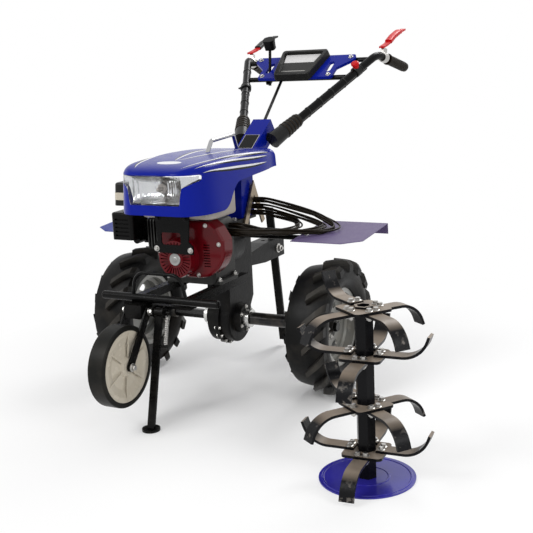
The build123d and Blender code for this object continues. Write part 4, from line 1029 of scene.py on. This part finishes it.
@dataclass
class Gearbox(Assembly):
    """Gear case with its bolts, and the wires beside the control cables."""

    flange_ring: float = 0.0945
    flange_half: float = 0.007
    flange_arc: range = range(192, 352, 22)
    boss_face: float = 0.070
    boss_ring: float = 0.043
    boss_bolts: int = 6
    small_bolt: float = 0.009
    hitch_bolt: float = 0.022
    hitch_thread: float = 0.006
    hitch_at: Place = (35.0, 350.0, 430.0)
    post_bolt: float = 0.012
    post_rows: Pair = (-36.0, 20.0)
    post_half: float = 30.0
    post_foot: float = 600.0
    cable_routes: tuple[tuple[Place, ...], ...] = (
        (
            (95, -150, 590), (155, -150, 590), (255, -45, 576), (372, 25, 566),
            (392, 110, 572), (285, 158, 606), (108, 137, 652), (38, 137, 652),
        ),
        (
            (95, -130, 606), (145, -130, 606), (228, -30, 564), (330, 40, 567),
            (345, 110, 572), (250, 141, 592), (108, 137, 628), (38, 137, 628),
        ),
        (
            (95, -118, 574), (135, -118, 574), (200, -10, 563), (262, 70, 569),
            (225, 122, 584), (98, 135, 606), (38, 135, 606),
        ),
    )
    wire_offsets: tuple[Pair, ...] = ((-9.0, 7.0), (8.0, 9.0), (1.0, 14.0))
    wire: float = 0.0064
    wire_sway: float = 9.0

    def dress(self) -> None:
        """Lay black paint on the castings and what is bolted to them, rubber on the cable loom, and zinc with
        a painted tan reflection on the struts.
        """
        self.paint.dress(Tone.CASTING, "gearbox_case", "hitch_box")
        self.paint.dress(Tone.BLACK, "fender_supports", "drag_bar")
        self.paint.dress(Tone.RUBBER, "cable_loom")
        self.paint.dress(Tone.ZINC_TAN_REFLECTION, "post_struts")

    def wires(self) -> None:
        """Thin wires strapped along the control cables that loop out over the left fender."""
        forge = Forge()
        for number, route in enumerate(self.cable_routes):
            for strand, (dx, dz) in enumerate(self.wire_offsets):
                knots = []
                for k, (x, y, z) in enumerate(route):
                    free = 0.0 if k in (0, len(route) - 1) else 1.0
                    sway = self.wire_sway * math.sin(1.7 * k + 2.1 * strand + number)
                    knots.append(self.at(x + free * (dx + sway), y + dx * 0.6, z + dz * 0.8))
                forge.bar(curve(knots, 8), section(self.wire, self.wire, 8))
        self.cast(forge, "cable_strands", Tone.RUBBER, sharp_deg=ROUND_DEG)

    def build(self) -> None:
        """Wires, and the bolts of the split flange, the bearing bosses, the post and the hitch."""
        self.wires()
        axle = self.layout.axle
        x, y, z = self.hitch_at
        forge = Forge()
        for side in SIDES:
            out = LEFT * side
            for turn in map(math.radians, self.flange_arc):
                around = (BACK * math.cos(turn) + UP * math.sin(turn)) * self.flange_ring
                forge.bolt(axle + around + out * self.flange_half, out, self.small_bolt)
            boss = axle + out * self.boss_face
            seats = circle(boss, BACK, UP, self.boss_ring, self.boss_bolts, math.pi / self.boss_bolts)
            forge.bolts(seats, out, self.small_bolt)
            forge.bolt(self.at(side * x, y, z), out, self.hitch_bolt, self.hitch_thread)
            feet = [self.at(side * self.post_half, row, self.post_foot) for row in self.post_rows]
            forge.bolts(feet, UP, self.post_bolt)
        self.cast(forge, "case_bolts", Tone.ZINC)


@dataclass
class Engine(Assembly):
    """Engine with its red covers, tank, silencer and air cleaner."""

    plate_front: float = -346.0
    plate_bolts: tuple[Pair, ...] = ((-66.0, 564.0), (66.0, 562.0))
    plate_bolt: float = 0.012
    bracket_bolts: tuple[Pair, ...] = ((-54.0, 668.0), (54.0, 668.0))
    bracket_bolt: float = 0.011
    cover_front: float = -300.0
    cover_bolts: tuple[Pair, ...] = (
        (-86.0, 640.0), (-86.0, 545.0), (148.0, 578.0), (100.0, 640.0), (64.0, 470.0), (-64.0, 487.0)
    )
    cover_bolt: float = 0.009
    foot_half: float = 101.0
    foot_rows: Pair = (-226.0, -120.0)
    foot_top: float = 434.0
    foot_bolt: float = 0.013
    foot_thread: float = 0.004
    recoil_at: Place = (0.0, -341.0, 528.0)
    recoil_profile: tuple[Pair, ...] = (
        (0, 0.021), (0.0016, 0.021), (0.003, 0.0195), (0.0022, 0.016),
        (0.0022, 0.009), (0.0036, 0.007), (0.0036, 0.001),
    )
    cleaner_at: Place = (-244.0, -196.0, 688.0)
    cleaner_half: Pair = (56.0, 64.0)
    cleaner_corner: float = 22.0
    cleaner_draft_deg: float = 4.0
    band_rises: Pair = (20.0, 46.0)
    band_reach: Pair = (-0.8, 1.0)

    def dress(self) -> None:
        """Lay paint and plastic on the engine's pieces."""
        self.paint.dress(Tone.ALLOY, "engine_block")
        self.paint.dress(Tone.RED, "blower_housing", "recoil_cover")
        self.paint.dress(Tone.BLACK, "support_plate", "muffler")
        self.paint.dress(Tone.CHARCOAL, "air_cleaner")
        self.paint.dress(Tone.TANK, "fuel_tank")

    def build(self) -> None:
        """Bolts of the covers and the feet, the recoil's centre and the air cleaner's band."""
        mounting, bracket, cover, hub, band = (Forge() for _ in range(5))
        for forge, spots, face, across in (
            (mounting, self.plate_bolts, self.plate_front, self.plate_bolt),
            (bracket, self.bracket_bolts, self.plate_front, self.bracket_bolt),
            (cover, self.cover_bolts, self.cover_front, self.cover_bolt),
        ):
            forge.bolts([self.at(x, face, z) for x, z in spots], -BACK, across)
        feet = [self.at(side * self.foot_half, y, self.foot_top) for side in SIDES for y in self.foot_rows]
        mounting.bolts(feet, UP, self.foot_bolt, self.foot_thread)
        hub.lathe(self.recoil_profile, self.at(*self.recoil_at), -BACK, 32)
        (low, high), (sunk, proud) = self.band_rises, self.band_reach
        levels = ((low, sunk), (low, proud), (high, proud), (high, sunk))
        band.skin([self.cleaner_ring(rise, out) for rise, out in levels], caps=False)
        self.cast(mounting, "engine_bolts", Tone.ZINC)
        self.cast(bracket, "bracket_bolts", Tone.CASTING)
        self.cast(cover, "cover_bolts", Tone.ZINC)
        self.cast(hub, "recoil_hub", Tone.BRUSHED)
        self.cast(band, "cleaner_band", Tone.CREAM)

    def cleaner_ring(self, rise: float, out: float) -> list[Vector]:
        """Outline of the air cleaner.

        Args:
            rise: height over its foot, in mm.
            out: distance outside its wall, in mm.

        Returns:
            Points round it.
        """
        middle = self.at(*self.cleaner_at) + UP * (rise * MM)
        radius = self.cleaner_corner + out - rise * math.tan(math.radians(self.cleaner_draft_deg))
        half_x, half_y = (half - self.cleaner_corner for half in self.cleaner_half)
        points = []
        for corner, (sx, sy) in enumerate(((1, 1), (-1, 1), (-1, -1), (1, -1))):
            for k in range(7):
                turn = math.radians(90 * corner + 15 * k)
                x, y = sx * half_x + radius * math.cos(turn), sy * half_y + radius * math.sin(turn)
                points.append(middle + (LEFT * x + BACK * y) * MM)
        return points


@dataclass
class Hood(Assembly):
    """Moulded hood with its lamp and lift handle."""

    nose: tuple[Pair, ...] = ((0, -440), (93, -440), (128, -422), (156, -378), (166, -305))
    lamp_edge: tuple[Pair, ...] = ((730, 90), (782, 99), (806, 141), (818, 143))
    lamp_gap: float = 10.0
    bowl_deep: float = 50.0
    bowl_half: float = 99.0
    columns: int = 64
    rows: int = 24
    bulb_at: Place = (0.0, -378.0, 774.0)
    bulb_profile: tuple[Pair, ...] = (
        (0, 0.012), (0.006, 0.016), (0.012, 0.016), (0.013, 0.0075),
        (0.034, 0.0075), (0.039, 0.005), (0.041, 0.0015),
    )

    def dress(self) -> None:
        """Lay striped paint, glass and chrome on the hood's pieces."""
        blue = Tone.BLUE.value
        striped = HoodPaint(
            "striped_hood", blue.colour, blue.rough, coat=0.04, tone=0.05, grain=260, depth=blue.depth,
            gloss=blue.gloss, shift=self.layout.shift,
        )
        self.paint.dress(striped, "hood")
        self.paint.dress(Tone.GLASS, "headlamp_lens")
        self.paint.dress(Tone.MIRROR, "headlamp_reflector")
        self.paint.dress(Tone.CHROME, "lift_handle")

    def bowl_row(self, share: float) -> list[Vector]:
        """One level row of the mirror.

        Args:
            share: its height, from 0 at the lamp's lower edge to 1 at the upper.

        Returns:
            Points from right to left.
        """
        low, high = self.lamp_edge[0][0], self.lamp_edge[-1][0]
        z = low + (high - low) * share
        half = between(self.lamp_edge, z)
        row = []
        for column in range(self.columns + 1):
            x = (2 * column / self.columns - 1) * half
            bowl = max(0.0, 1 - abs(x / self.bowl_half) ** 3) * (1 - abs(2 * share - 1) ** 4)
            y = between(self.nose, abs(x)) + self.lamp_gap + self.bowl_deep * bowl
            row.append(self.at(x, y, z))
        return row

    def build(self) -> None:
        """Fluted mirror bowl and the bulb in front of it."""
        mirror, bulb = Forge(), Forge()
        mirror.skin([self.bowl_row(k / self.rows) for k in range(self.rows + 1)], loop=False, caps=False)
        bowl = self.cast(mirror, "lamp_bowl", Tone.MIRROR, sharp_deg=ROUND_DEG)
        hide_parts("headlamp_reflector")
        bulb.lathe(self.bulb_profile, self.at(*self.bulb_at), -BACK, 20)
        self.cast(bulb, "lamp_bulb", Tone.TANK)


@dataclass
class FrontEnd(Assembly):
    """Rails, bumper, transport wheel and parking stand."""

    spring_x: float = 32.0
    spring_gap: float = 0.011
    spring_long: float = 0.092
    stand_foot_y: float = -549.0
    coil_radius: float = 0.0062
    wire: float = 0.0034
    turns: int = 15
    turn_steps: int = 14
    fork_half: float = 0.047
    axle_nut: float = 0.017
    pivot_nut: float = 0.015
    disc_face: float = 0.0278
    rib_count: int = 6
    rib_phase: float = 0.35
    rib_ends: Pair = (0.034, 0.108)
    rib_halves: Pair = (0.004, 0.0024)
    rib_rise: float = 0.0014
    rib_bevel: float = 0.0008

    def dress(self) -> None:
        """Lay black paint, rubber and cream plastic on the front end."""
        self.paint.dress(Tone.BLACK, "front_frame", "front_bumper", "front_fork", "stand_leg")
        rubber = TyreRubber(
            "transport_tyre", (0.006, 0.006, 0.005), tone=0.15, grain=600, depth=0.0003, dust=0.05,
            gloss=0.12, axle=self.layout.joint("front_wheel_spin"), ring=0.012, tread=0.2,
        )
        self.paint.dress(rubber, "front_tyre")
        self.paint.dress(Tone.CREAM, "front_disc")

    def build(self) -> None:
        """Coil of the stand, nuts of the fork and ribs of the wheel's disc."""
        self.coil()
        self.nuts()
        self.disc_ribs()

    def coil(self) -> None:
        """Coil spring along the stand's leg."""
        pivot = self.layout.joint("stand_fold") + LEFT * (self.spring_x * MM)
        down = (self.at(self.spring_x, self.stand_foot_y, 0) - pivot).normalized()
        side, across = square_to(down)
        steps = self.turns * self.turn_steps
        path = []
        for k in range(steps + 1):
            turn = 2 * math.pi * k / self.turn_steps
            along = down * (self.spring_gap + self.spring_long * k / steps)
            path.append(pivot + along + (side * math.cos(turn) + across * math.sin(turn)) * self.coil_radius)
        forge = Forge()
        forge.bar(path, section(self.wire, self.wire, 8))
        coil = self.cast(forge, "stand_coil", Tone.ZINC, "stand", ROUND_DEG)
        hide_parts("stand_spring")

    def nuts(self) -> None:
        """Nuts on both ends of the wheel's axle and of the fork's pivot."""
        forge = Forge()
        for side in SIDES:
            for joint, across in (("front_wheel_spin", self.axle_nut), ("fork_swing", self.pivot_nut)):
                out = LEFT * side
                forge.bolt(self.layout.joint(joint) + out * self.fork_half, out, across)
        self.cast(forge, "fork_nuts", Tone.ZINC, "front_fork")

    def disc_ribs(self) -> None:
        """Low ribs from the hub to the rim on both faces of the transport wheel's disc."""
        forge = Forge()
        first = 2 * math.pi * self.rib_phase / self.rib_count
        (start, end), (root, tip) = self.rib_ends, self.rib_halves
        for out in (LEFT, -LEFT):
            face = self.layout.joint("front_wheel_spin") + out * self.disc_face
            for along in circle(Vector(), BACK, UP, 1.0, self.rib_count, first):
                across = out.cross(along)
                corners = ((start, -root), (end, -tip), (end, tip), (start, root))
                outline = [face + along * reach + across * half for reach, half in corners]
                forge.slab(outline, out * self.rib_rise, self.rib_bevel)
        self.cast(forge, "disc_ribs", Tone.CREAM, "front_wheel")


@dataclass
class Post(Assembly):
    """Post from the gear case to the handlebar, with a bare plate on its sloping face."""

    slope_foot: Place = (0.0, 75.0, 775.0)
    slope_run: Place = (0.0, 230.0, 150.0)
    plate_up: float = 0.6
    plate_thick: float = 0.0014
    plate_bevel: float = 0.0006
    rim_half: Pair = (0.031, 0.041)
    rim_lift: float = 0.0003
    face_half: Pair = (0.028, 0.038)
    face_lift: float = 0.0016

    def dress(self) -> None:
        """Lay blue enamel on the post."""
        self.paint.dress(Tone.BLUE, "handle_post")

    def build(self) -> None:
        """Plate with a bright rim, its middle a share of the way up the slope."""
        run = Vector(self.slope_run)
        along, outward = run.normalized(), LEFT.cross(run).normalized()
        middle = self.at(*(Vector(self.slope_foot) + run * self.plate_up))
        for name, tone, (wide, tall), lift in (
            ("post_plate_rim", Tone.ZINC, self.rim_half, self.rim_lift),
            ("post_plate_face", Tone.BLACK, self.face_half, self.face_lift),
        ):
            corners = ((-wide, -tall), (wide, -tall), (wide, tall), (-wide, tall))
            outline = [middle + LEFT * a + along * b + outward * lift for a, b in corners]
            forge = Forge()
            forge.slab(outline, outward * self.plate_thick, self.plate_bevel)
            self.cast(forge, name, tone)


@dataclass
class Console(Assembly):
    """Panel across the handlebar with the console on it."""

    face: float = 38.4
    plate: tuple[Pair, ...] = ((-71, 470), (64, 470), (76, 530), (-84, 530))
    plate_thick: float = 0.0012
    plate_bevel: float = 0.0005
    strip: tuple[Pair, ...] = ((-58, 400), (54, 400), (55, 407), (-59, 407))
    strip_thick: float = 0.0010
    strip_bevel: float = 0.0004
    panel_face: float = 22.3
    bolt_places: tuple[Pair, ...] = ((-206, 524), (206, 524), (-150, 398), (150, 398))
    bolt: float = 0.012

    def dress(self) -> None:
        """Lay blue enamel on the panel and dark plastic on the console."""
        self.paint.dress(Tone.BLUE, "panel")
        self.paint.dress(Tone.CHARCOAL, "console")

    def build(self) -> None:
        """Bare plate and strip on the console, and the panel's bolts."""
        above = self.layout.above
        for name, corners, tone, thick, bevel in (
            ("console_plate", self.plate, Tone.WHITE, self.plate_thick, self.plate_bevel),
            ("console_strip", self.strip, Tone.ZINC, self.strip_thick, self.strip_bevel),
        ):
            outline = [self.layout.on_handle(u, v, self.face) for u, v in corners]
            forge = Forge()
            forge.slab(outline, above * thick, bevel)
            self.cast(forge, name, tone, "handlebar")
        bolts = Forge()
        seats = [self.layout.on_handle(u, v, self.panel_face) for u, v in self.bolt_places]
        bolts.bolts(seats, above, self.bolt)
        self.cast(bolts, "panel_bolts", Tone.ZINC, "handlebar")


@dataclass
class Grips(Assembly):
    """Grips at the handlebar's ends with the clutch levers over them."""

    grip_long: float = 0.144
    flange_at: float = 0.004
    flange_seat: float = 0.019
    flange_radius: float = 0.0235
    flange_long: float = 0.006
    rib_count: int = 14
    rib_from: float = 0.016
    rib_pitch: float = 0.0092
    rib_seat: float = 0.0192
    rib_radius: float = 0.0207
    rib_long: float = 0.0046
    lever_root: float = 0.052
    lever_lift: float = 0.0444
    lever_line: tuple[Pair, ...] = (
        (26.0, 6.0), (68.0, 20.5), (110.0, 38.0), (178.0, 57.0), (246.0, 68.0)
    )
    lever_black: Colour = (0.008, 0.008, 0.008)
    black_from: float = 905.0
    sleeve_from: float = 62.0
    sleeve_step: float = 7.2
    sleeve_points: int = 19
    sleeve_wide: float = 0.030
    sleeve_thick: float = 0.019
    sleeve_sharp_deg: float = 50.0

    def dress(self) -> None:
        """Lay rubber on the grips, and on the levers red with the right one black behind its root."""
        self.paint.dress(Tone.RUBBER, "grips")
        red = {**vars(Tone.LEVER_RED.value), "name": "two_lever_paint"}
        line = self.at(0, self.black_from, 0).y
        levers = SidedPaint(**red, right=self.lever_black, middle=self.layout.shift.x, line=line)
        self.paint.dress(levers, "clutch_levers")
        self.paint.dress(Tone.ZINC, "lever_clamps")

    def build(self) -> None:
        """Ribs of the grips and sleeves of the levers."""
        self.ribs()
        self.sleeves()

    def ribs(self) -> None:
        """Ribs and an inner flange round each grip."""
        forge = Forge()
        for side in SIDES:
            _, end, heading = self.layout.grip(side)
            start = end - heading * self.grip_long
            flange = start + heading * self.flange_at
            forge.ring(flange, heading, self.flange_seat, self.flange_radius, self.flange_long)
            for k in range(self.rib_count):
                rib = start + heading * (self.rib_from + self.rib_pitch * k)
                forge.ring(rib, heading, self.rib_seat, self.rib_radius, self.rib_long)
        self.cast(forge, "grip_ribs", Tone.RUBBER, "handlebar")

    def sleeves(self) -> None:
        """Moulded sleeve on each clutch lever: red on the left, black on the right."""
        shape = section(self.sleeve_wide, self.sleeve_thick, 20, 0.5)
        for side, name, tone in ((1, "left", Tone.LEVER_RED), (-1, "right", Tone.CHARCOAL)):
            bend, _, heading = self.layout.grip(side)
            base = bend + heading * self.lever_root + UP * self.lever_lift
            path = []
            for k in range(self.sleeve_points):
                reach = self.sleeve_from + self.sleeve_step * k
                path.append(base + (BACK * reach + UP * between(self.lever_line, reach)) * MM)
            forge = Forge()
            forge.bar(path, shape, LEFT)
            self.cast(forge, f"lever_sleeve_{name}", tone, "handlebar", self.sleeve_sharp_deg)


@dataclass
class HandleTubes(Assembly):
    """Two tubes of the handlebar with their clamps, cables and small fittings."""

    seat: float = 0.0158
    tie_places: tuple[float, ...] = (170.0, 235.0, 300.0, 372.0, 470.0)
    tie_radius: float = 0.0176
    tie_long: float = 0.006
    cable_drop: float = 0.0202
    cable_seat: float = 0.0038
    cable_tie_radius: float = 0.0055
    clamp_at: float = 348.0
    clamp_radius: float = 0.0225
    clamp_long: float = 0.022
    clamp_bolt_out: float = 0.021
    clamp_bolt: float = 0.011
    clamp_thread: float = 0.006
    button_at: float = 450.0
    button_collar: float = 0.0215
    button_collar_long: float = 0.030
    button_profile: tuple[Pair, ...] = (
        (0.014, 0.0125), (0.026, 0.0125), (0.031, 0.0165), (0.038, 0.0165), (0.042, 0.012), (0.043, 0.001)
    )
    boot_foot: float = 0.024
    boot_long: float = 0.150
    boot_radius: float = 0.032
    boot_narrows: float = 0.008
    rib_count: int = 5
    rib_from: float = 0.070
    rib_pitch: float = 0.017
    rib_long: float = 0.009
    rib_sunk: float = 0.001
    rib_proud: float = 0.0026

    def dress(self) -> None:
        """Lay paint, plastic and rubber on the tubes, the clamps and the cables."""
        self.paint.dress(Tone.BLACK, "handle_tube_left", "handle_tube_right", "cross_bars", "gear_lever")
        self.paint.dress(Tone.CHARCOAL, "handle_clamps")
        self.paint.dress(Tone.RUBBER, "grip_cables")

    def build(self) -> None:
        """Ties and collars, ribs of the boots, and the stop button on the left tube."""
        self.ties()
        self.boot_ribs()
        knob = Forge()
        knob.lathe(self.button_profile, self.layout.on_tube(1, self.button_at), self.layout.above)
        self.cast(knob, "stop_button", Tone.LEVER_RED, "handlebar")

    def ties(self) -> None:
        """Ties round each tube and its cable, a clamp ring on the right and a collar on the left."""
        forge = Forge()
        drop = self.layout.above * self.cable_drop
        for side in SIDES:
            heading = self.layout.tube_heading(side)
            for place in self.tie_places:
                centre = self.layout.on_tube(side, place)
                forge.ring(centre, heading, self.seat, self.tie_radius, self.tie_long)
                forge.ring(centre - drop, heading, self.cable_seat, self.cable_tie_radius, self.tie_long)
        for side, place, radius, long in (
            (-1, self.clamp_at, self.clamp_radius, self.clamp_long),
            (1, self.button_at, self.button_collar, self.button_collar_long),
        ):
            heading = self.layout.tube_heading(side)
            forge.ring(self.layout.on_tube(side, place), heading, self.seat, radius, long)
        bolt_seat = self.layout.on_tube(-1, self.clamp_at) - LEFT * self.clamp_bolt_out
        forge.bolt(bolt_seat, -LEFT, self.clamp_bolt, self.clamp_thread)
        self.cast(forge, "tube_ties", Tone.CHARCOAL, "handlebar")

    def boot_ribs(self) -> None:
        """Ribs round the tapered boot at the foot of each tube."""
        forge = Forge()
        for side in SIDES:
            heading = self.layout.tube_heading(side)
            foot = self.layout.on_tube(side, 0) - heading * self.boot_foot
            for k in range(self.rib_count):
                reach = self.rib_from + self.rib_pitch * k
                radius = self.boot_radius - self.boot_narrows * reach / self.boot_long
                inner, outer = radius - self.rib_sunk, radius + self.rib_proud
                forge.ring(foot + heading * reach, heading, inner, outer, self.rib_long)
        self.cast(forge, "clamp_ribs", Tone.RUBBER, "handlebar")


@dataclass
class Fenders(Assembly):
    """Fender sheets over the road wheels with their fixing bolts."""

    front: float = -75.0
    height: float = 552.0
    rise_deg: float = 4.0
    sheet: float = 0.0026
    bolt_half: float = 322.0
    bolt_rows: Pair = (88.0, 165.0)
    bolt: float = 0.011
    right_colour: Colour = (0.003, 0.02, 0.24)

    def dress(self) -> None:
        """Lay enamel on the sheets: blue on the right one, and violet on the left one as painted glare over
        the same blue.
        """
        left = vars(Tone.FENDER_GLARE.value)
        sheets = SidedPaint(**left, right=self.right_colour, middle=self.layout.shift.x)
        self.paint.dress(sheets, "fenders")

    def build(self) -> None:
        """Two bolts through each sheet into each support."""
        rise = math.radians(self.rise_deg)
        along = BACK * math.cos(rise) + UP * math.sin(rise)
        up = LEFT.cross(along)
        forge = Forge()
        for side in SIDES:
            edge = self.at(side * self.bolt_half, self.front, self.height) + up * self.sheet
            forge.bolts([edge + along * (row * MM) for row in self.bolt_rows], up, self.bolt)
        self.cast(forge, "fender_bolts", Tone.ZINC)


@dataclass
class TineReel(Assembly):
    """Reel of blades standing on its end disc, with the blades' bolts."""

    stands_at: Place = (781.0, -613.0, 0.0)
    levels: tuple[float, ...] = (78.0, 217.0, 358.0, 492.0)
    headings: tuple[float, ...] = (4.0, 54.0, 4.0, 54.0)
    turns_up: tuple[tuple[bool, ...], ...] = (
        (True, True, True, False),
        (False, True, False, False),
        (True, True, True, False),
        (False, True, False, False),
    )
    plate: float = 8.0
    blade: float = 8.0
    bolt_reach: float = 0.046
    bolt_offset: float = 0.011
    bolt: float = 0.013
    thread: float = 0.002
    disc_sheet: float = 0.004
    beads: Pair = (0.062, 0.126)
    bead_rise: float = 0.0016
    bead_half: float = 0.004
    bead_top: float = 0.002

    def dress(self) -> None:
        """Lay worn black paint with a painted reflection on the blades' upper faces, and blue on the disc."""
        black = WornPaintPaintedReflection(
            "reel_paint", (0.004, 0.004, 0.005), 0.24, grain=260, depth=0.0002, gloss=0.12,
            axis=self.at(*self.stands_at),
        )
        self.paint.dress(black, "tine_reel")
        self.paint.dress(Tone.DISC, "reel_disc")

    def build(self) -> None:
        """Bolts of the blades and two raised beads round the disc."""
        self.blade_bolts()
        forge = Forge()
        centre = self.at(*self.stands_at) + UP * self.disc_sheet
        rise, half, top = self.bead_rise, self.bead_half, self.bead_top
        for radius in self.beads:
            profile = [(0, radius - half), (rise, radius - top), (rise, radius + top), (0, radius + half)]
            forge.lathe(profile, centre, UP, 64, caps=False)
        self.cast(forge, "disc_beads", Tone.DISC)

    def blade_bolts(self) -> None:
        """Two bolts with nuts through each blade and its star plate."""
        foot = self.at(*self.stands_at)
        forge = Forge()
        for level, first, row in zip(self.levels, self.headings, self.turns_up):
            for quarter, turned_up in enumerate(row):
                heading = math.radians(first + 90 * quarter)
                out = LEFT * math.cos(heading) + BACK * math.sin(heading)
                across = UP.cross(out)
                top = level + self.plate + (self.blade if turned_up else 0)
                low = level - (0 if turned_up else self.blade)
                for side in SIDES:
                    spot = foot + out * self.bolt_reach + across * (side * self.bolt_offset)
                    forge.bolt(spot + UP * (top * MM), UP, self.bolt)
                    forge.bolt(spot + UP * (low * MM), -UP, self.bolt, self.thread)
        self.cast(forge, "reel_bolts", Tone.ZINC)


@dataclass
class Studio:
    """Pale floor, soft lamps, white surroundings and the camera."""

    layout: Layout
    camera_at: Place = (1712.0, -2923.0, 1182.0)
    azimuth_deg: float = 27.909
    pitch_deg: float = 12.655
    roll_deg: float = -2.637
    focal_px: float = 942.089
    image_px: float = 533.0
    sensor_mm: float = 36.0
    sky_light: float = 0.45
    floor_radius: float = 14.0
    floor_drop: float = 0.0012
    floor_sides: int = 48
    fade_from: float = 0.35
    fade_over: float = 1.15
    lamps_aim: Place = (200.0, -100.0, 500.0)

    def floor(self) -> None:
        """Wide pale floor that fades to white."""
        shade = Shade.named("studio_floor")
        x, y, _ = shade.split(shade.place())
        grey = shade.mix(shade.noise(3.0), (0.91, 0.91, 0.91), (0.94, 0.94, 0.94))
        matt = shade.node("ShaderNodeBsdfPrincipled", None, {"Base Color": grey, "Roughness": 0.7})
        white = shade.node("ShaderNodeEmission", None, {"Color": (1.0, 1.0, 1.0), "Strength": 1.0})
        share = x.reach(y).rise(self.fade_from, self.fade_over) * shade.background_ray()
        mixed = shade.node("ShaderNodeMixShader", None, {0: share, 1: matt, 2: white})
        shade.node("ShaderNodeOutputMaterial", None, {0: mixed})
        forge = Forge()
        forge.face(circle(UP * -self.floor_drop, LEFT, BACK, self.floor_radius, self.floor_sides))
        ground = forge.part("floor", shade.owner)

    def world(self) -> None:
        """White surroundings to the eye, softer as light."""
        world = bpy.data.worlds.new("studio_world")
        bpy.context.scene.world = world
        shade = Shade(world)
        level = shade.background_ray().most(self.sky_light)
        sky = shade.node("ShaderNodeBackground", None, {"Color": (1.0, 1.0, 1.0), "Strength": level})
        shade.node("ShaderNodeOutputWorld", None, {0: sky})

    def lamp(self, name: str, at: Place, watts: float, size: float) -> None:
        """Square soft lamp aimed at the machine's middle.

        Args:
            name: the lamp's name.
            at: its place in the machine's coordinates, in mm.
            watts: its power.
            size: its side, in metres.
        """
        data = bpy.data.lights.new(name, "AREA")
        data.energy = watts
        data.size = size
        lamp = bpy.data.objects.new(name, data)
        lamp.location = self.layout.at(*at)
        aim = self.layout.at(*self.lamps_aim) - lamp.location
        lamp.rotation_euler = aim.to_track_quat("-Z", "Y").to_euler()
        bpy.context.scene.collection.objects.link(lamp)

    def camera(self) -> None:
        """Camera at the photograph's angle."""
        azimuth, pitch, roll = map(math.radians, (self.azimuth_deg, self.pitch_deg, self.roll_deg))
        level = BACK * math.cos(azimuth) - LEFT * math.sin(azimuth)
        ahead = level * math.cos(pitch) - UP * math.sin(pitch)
        right = level.cross(UP)
        up = right.cross(ahead)
        right_rolled = right * math.cos(roll) + up * math.sin(roll)
        up_rolled = up * math.cos(roll) - right * math.sin(roll)
        data = bpy.data.cameras.new("camera")
        data.sensor_fit = "HORIZONTAL"
        data.sensor_width = self.sensor_mm
        data.lens = self.focal_px / self.image_px * self.sensor_mm
        camera = bpy.data.objects.new("camera", data)
        matrix = Matrix((right_rolled, up_rolled, -ahead)).transposed().to_4x4()
        matrix.translation = self.layout.at(*self.camera_at)
        camera.matrix_world = matrix
        bpy.context.scene.collection.objects.link(camera)
        bpy.context.scene.camera = camera

    def build(self) -> None:
        """Set the stage."""
        bpy.context.scene.view_settings.view_transform = "Standard"
        self.floor()
        self.world()
        self.lamp("key_lamp", (-1500, -3300, 3200), 100.0, 1.7)
        self.lamp("fill_lamp", (3600, -1500, 2200), 50.0, 1.8)
        self.lamp("back_lamp", (500, 2600, 3000), 60.0, 1.5)
        self.camera()


def main() -> None:
    """Dress the packed part piece by piece and set it in the studio."""
    logging.basicConfig(level=logging.INFO, format="%(name)s: %(message)s")
    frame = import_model()
    layout = Layout(frame)
    paint = Paintbox(frame)
    Studio(layout).build()
    assemblies = (
        RoadWheels, Gearbox, Engine, Hood, FrontEnd, Post, Console, Grips, HandleTubes, Fenders, TineReel
    )
    for assembly in assemblies:
        group = assembly(layout, paint)
        group.dress()
        group.build()


if __name__ == "__main__":
    main()
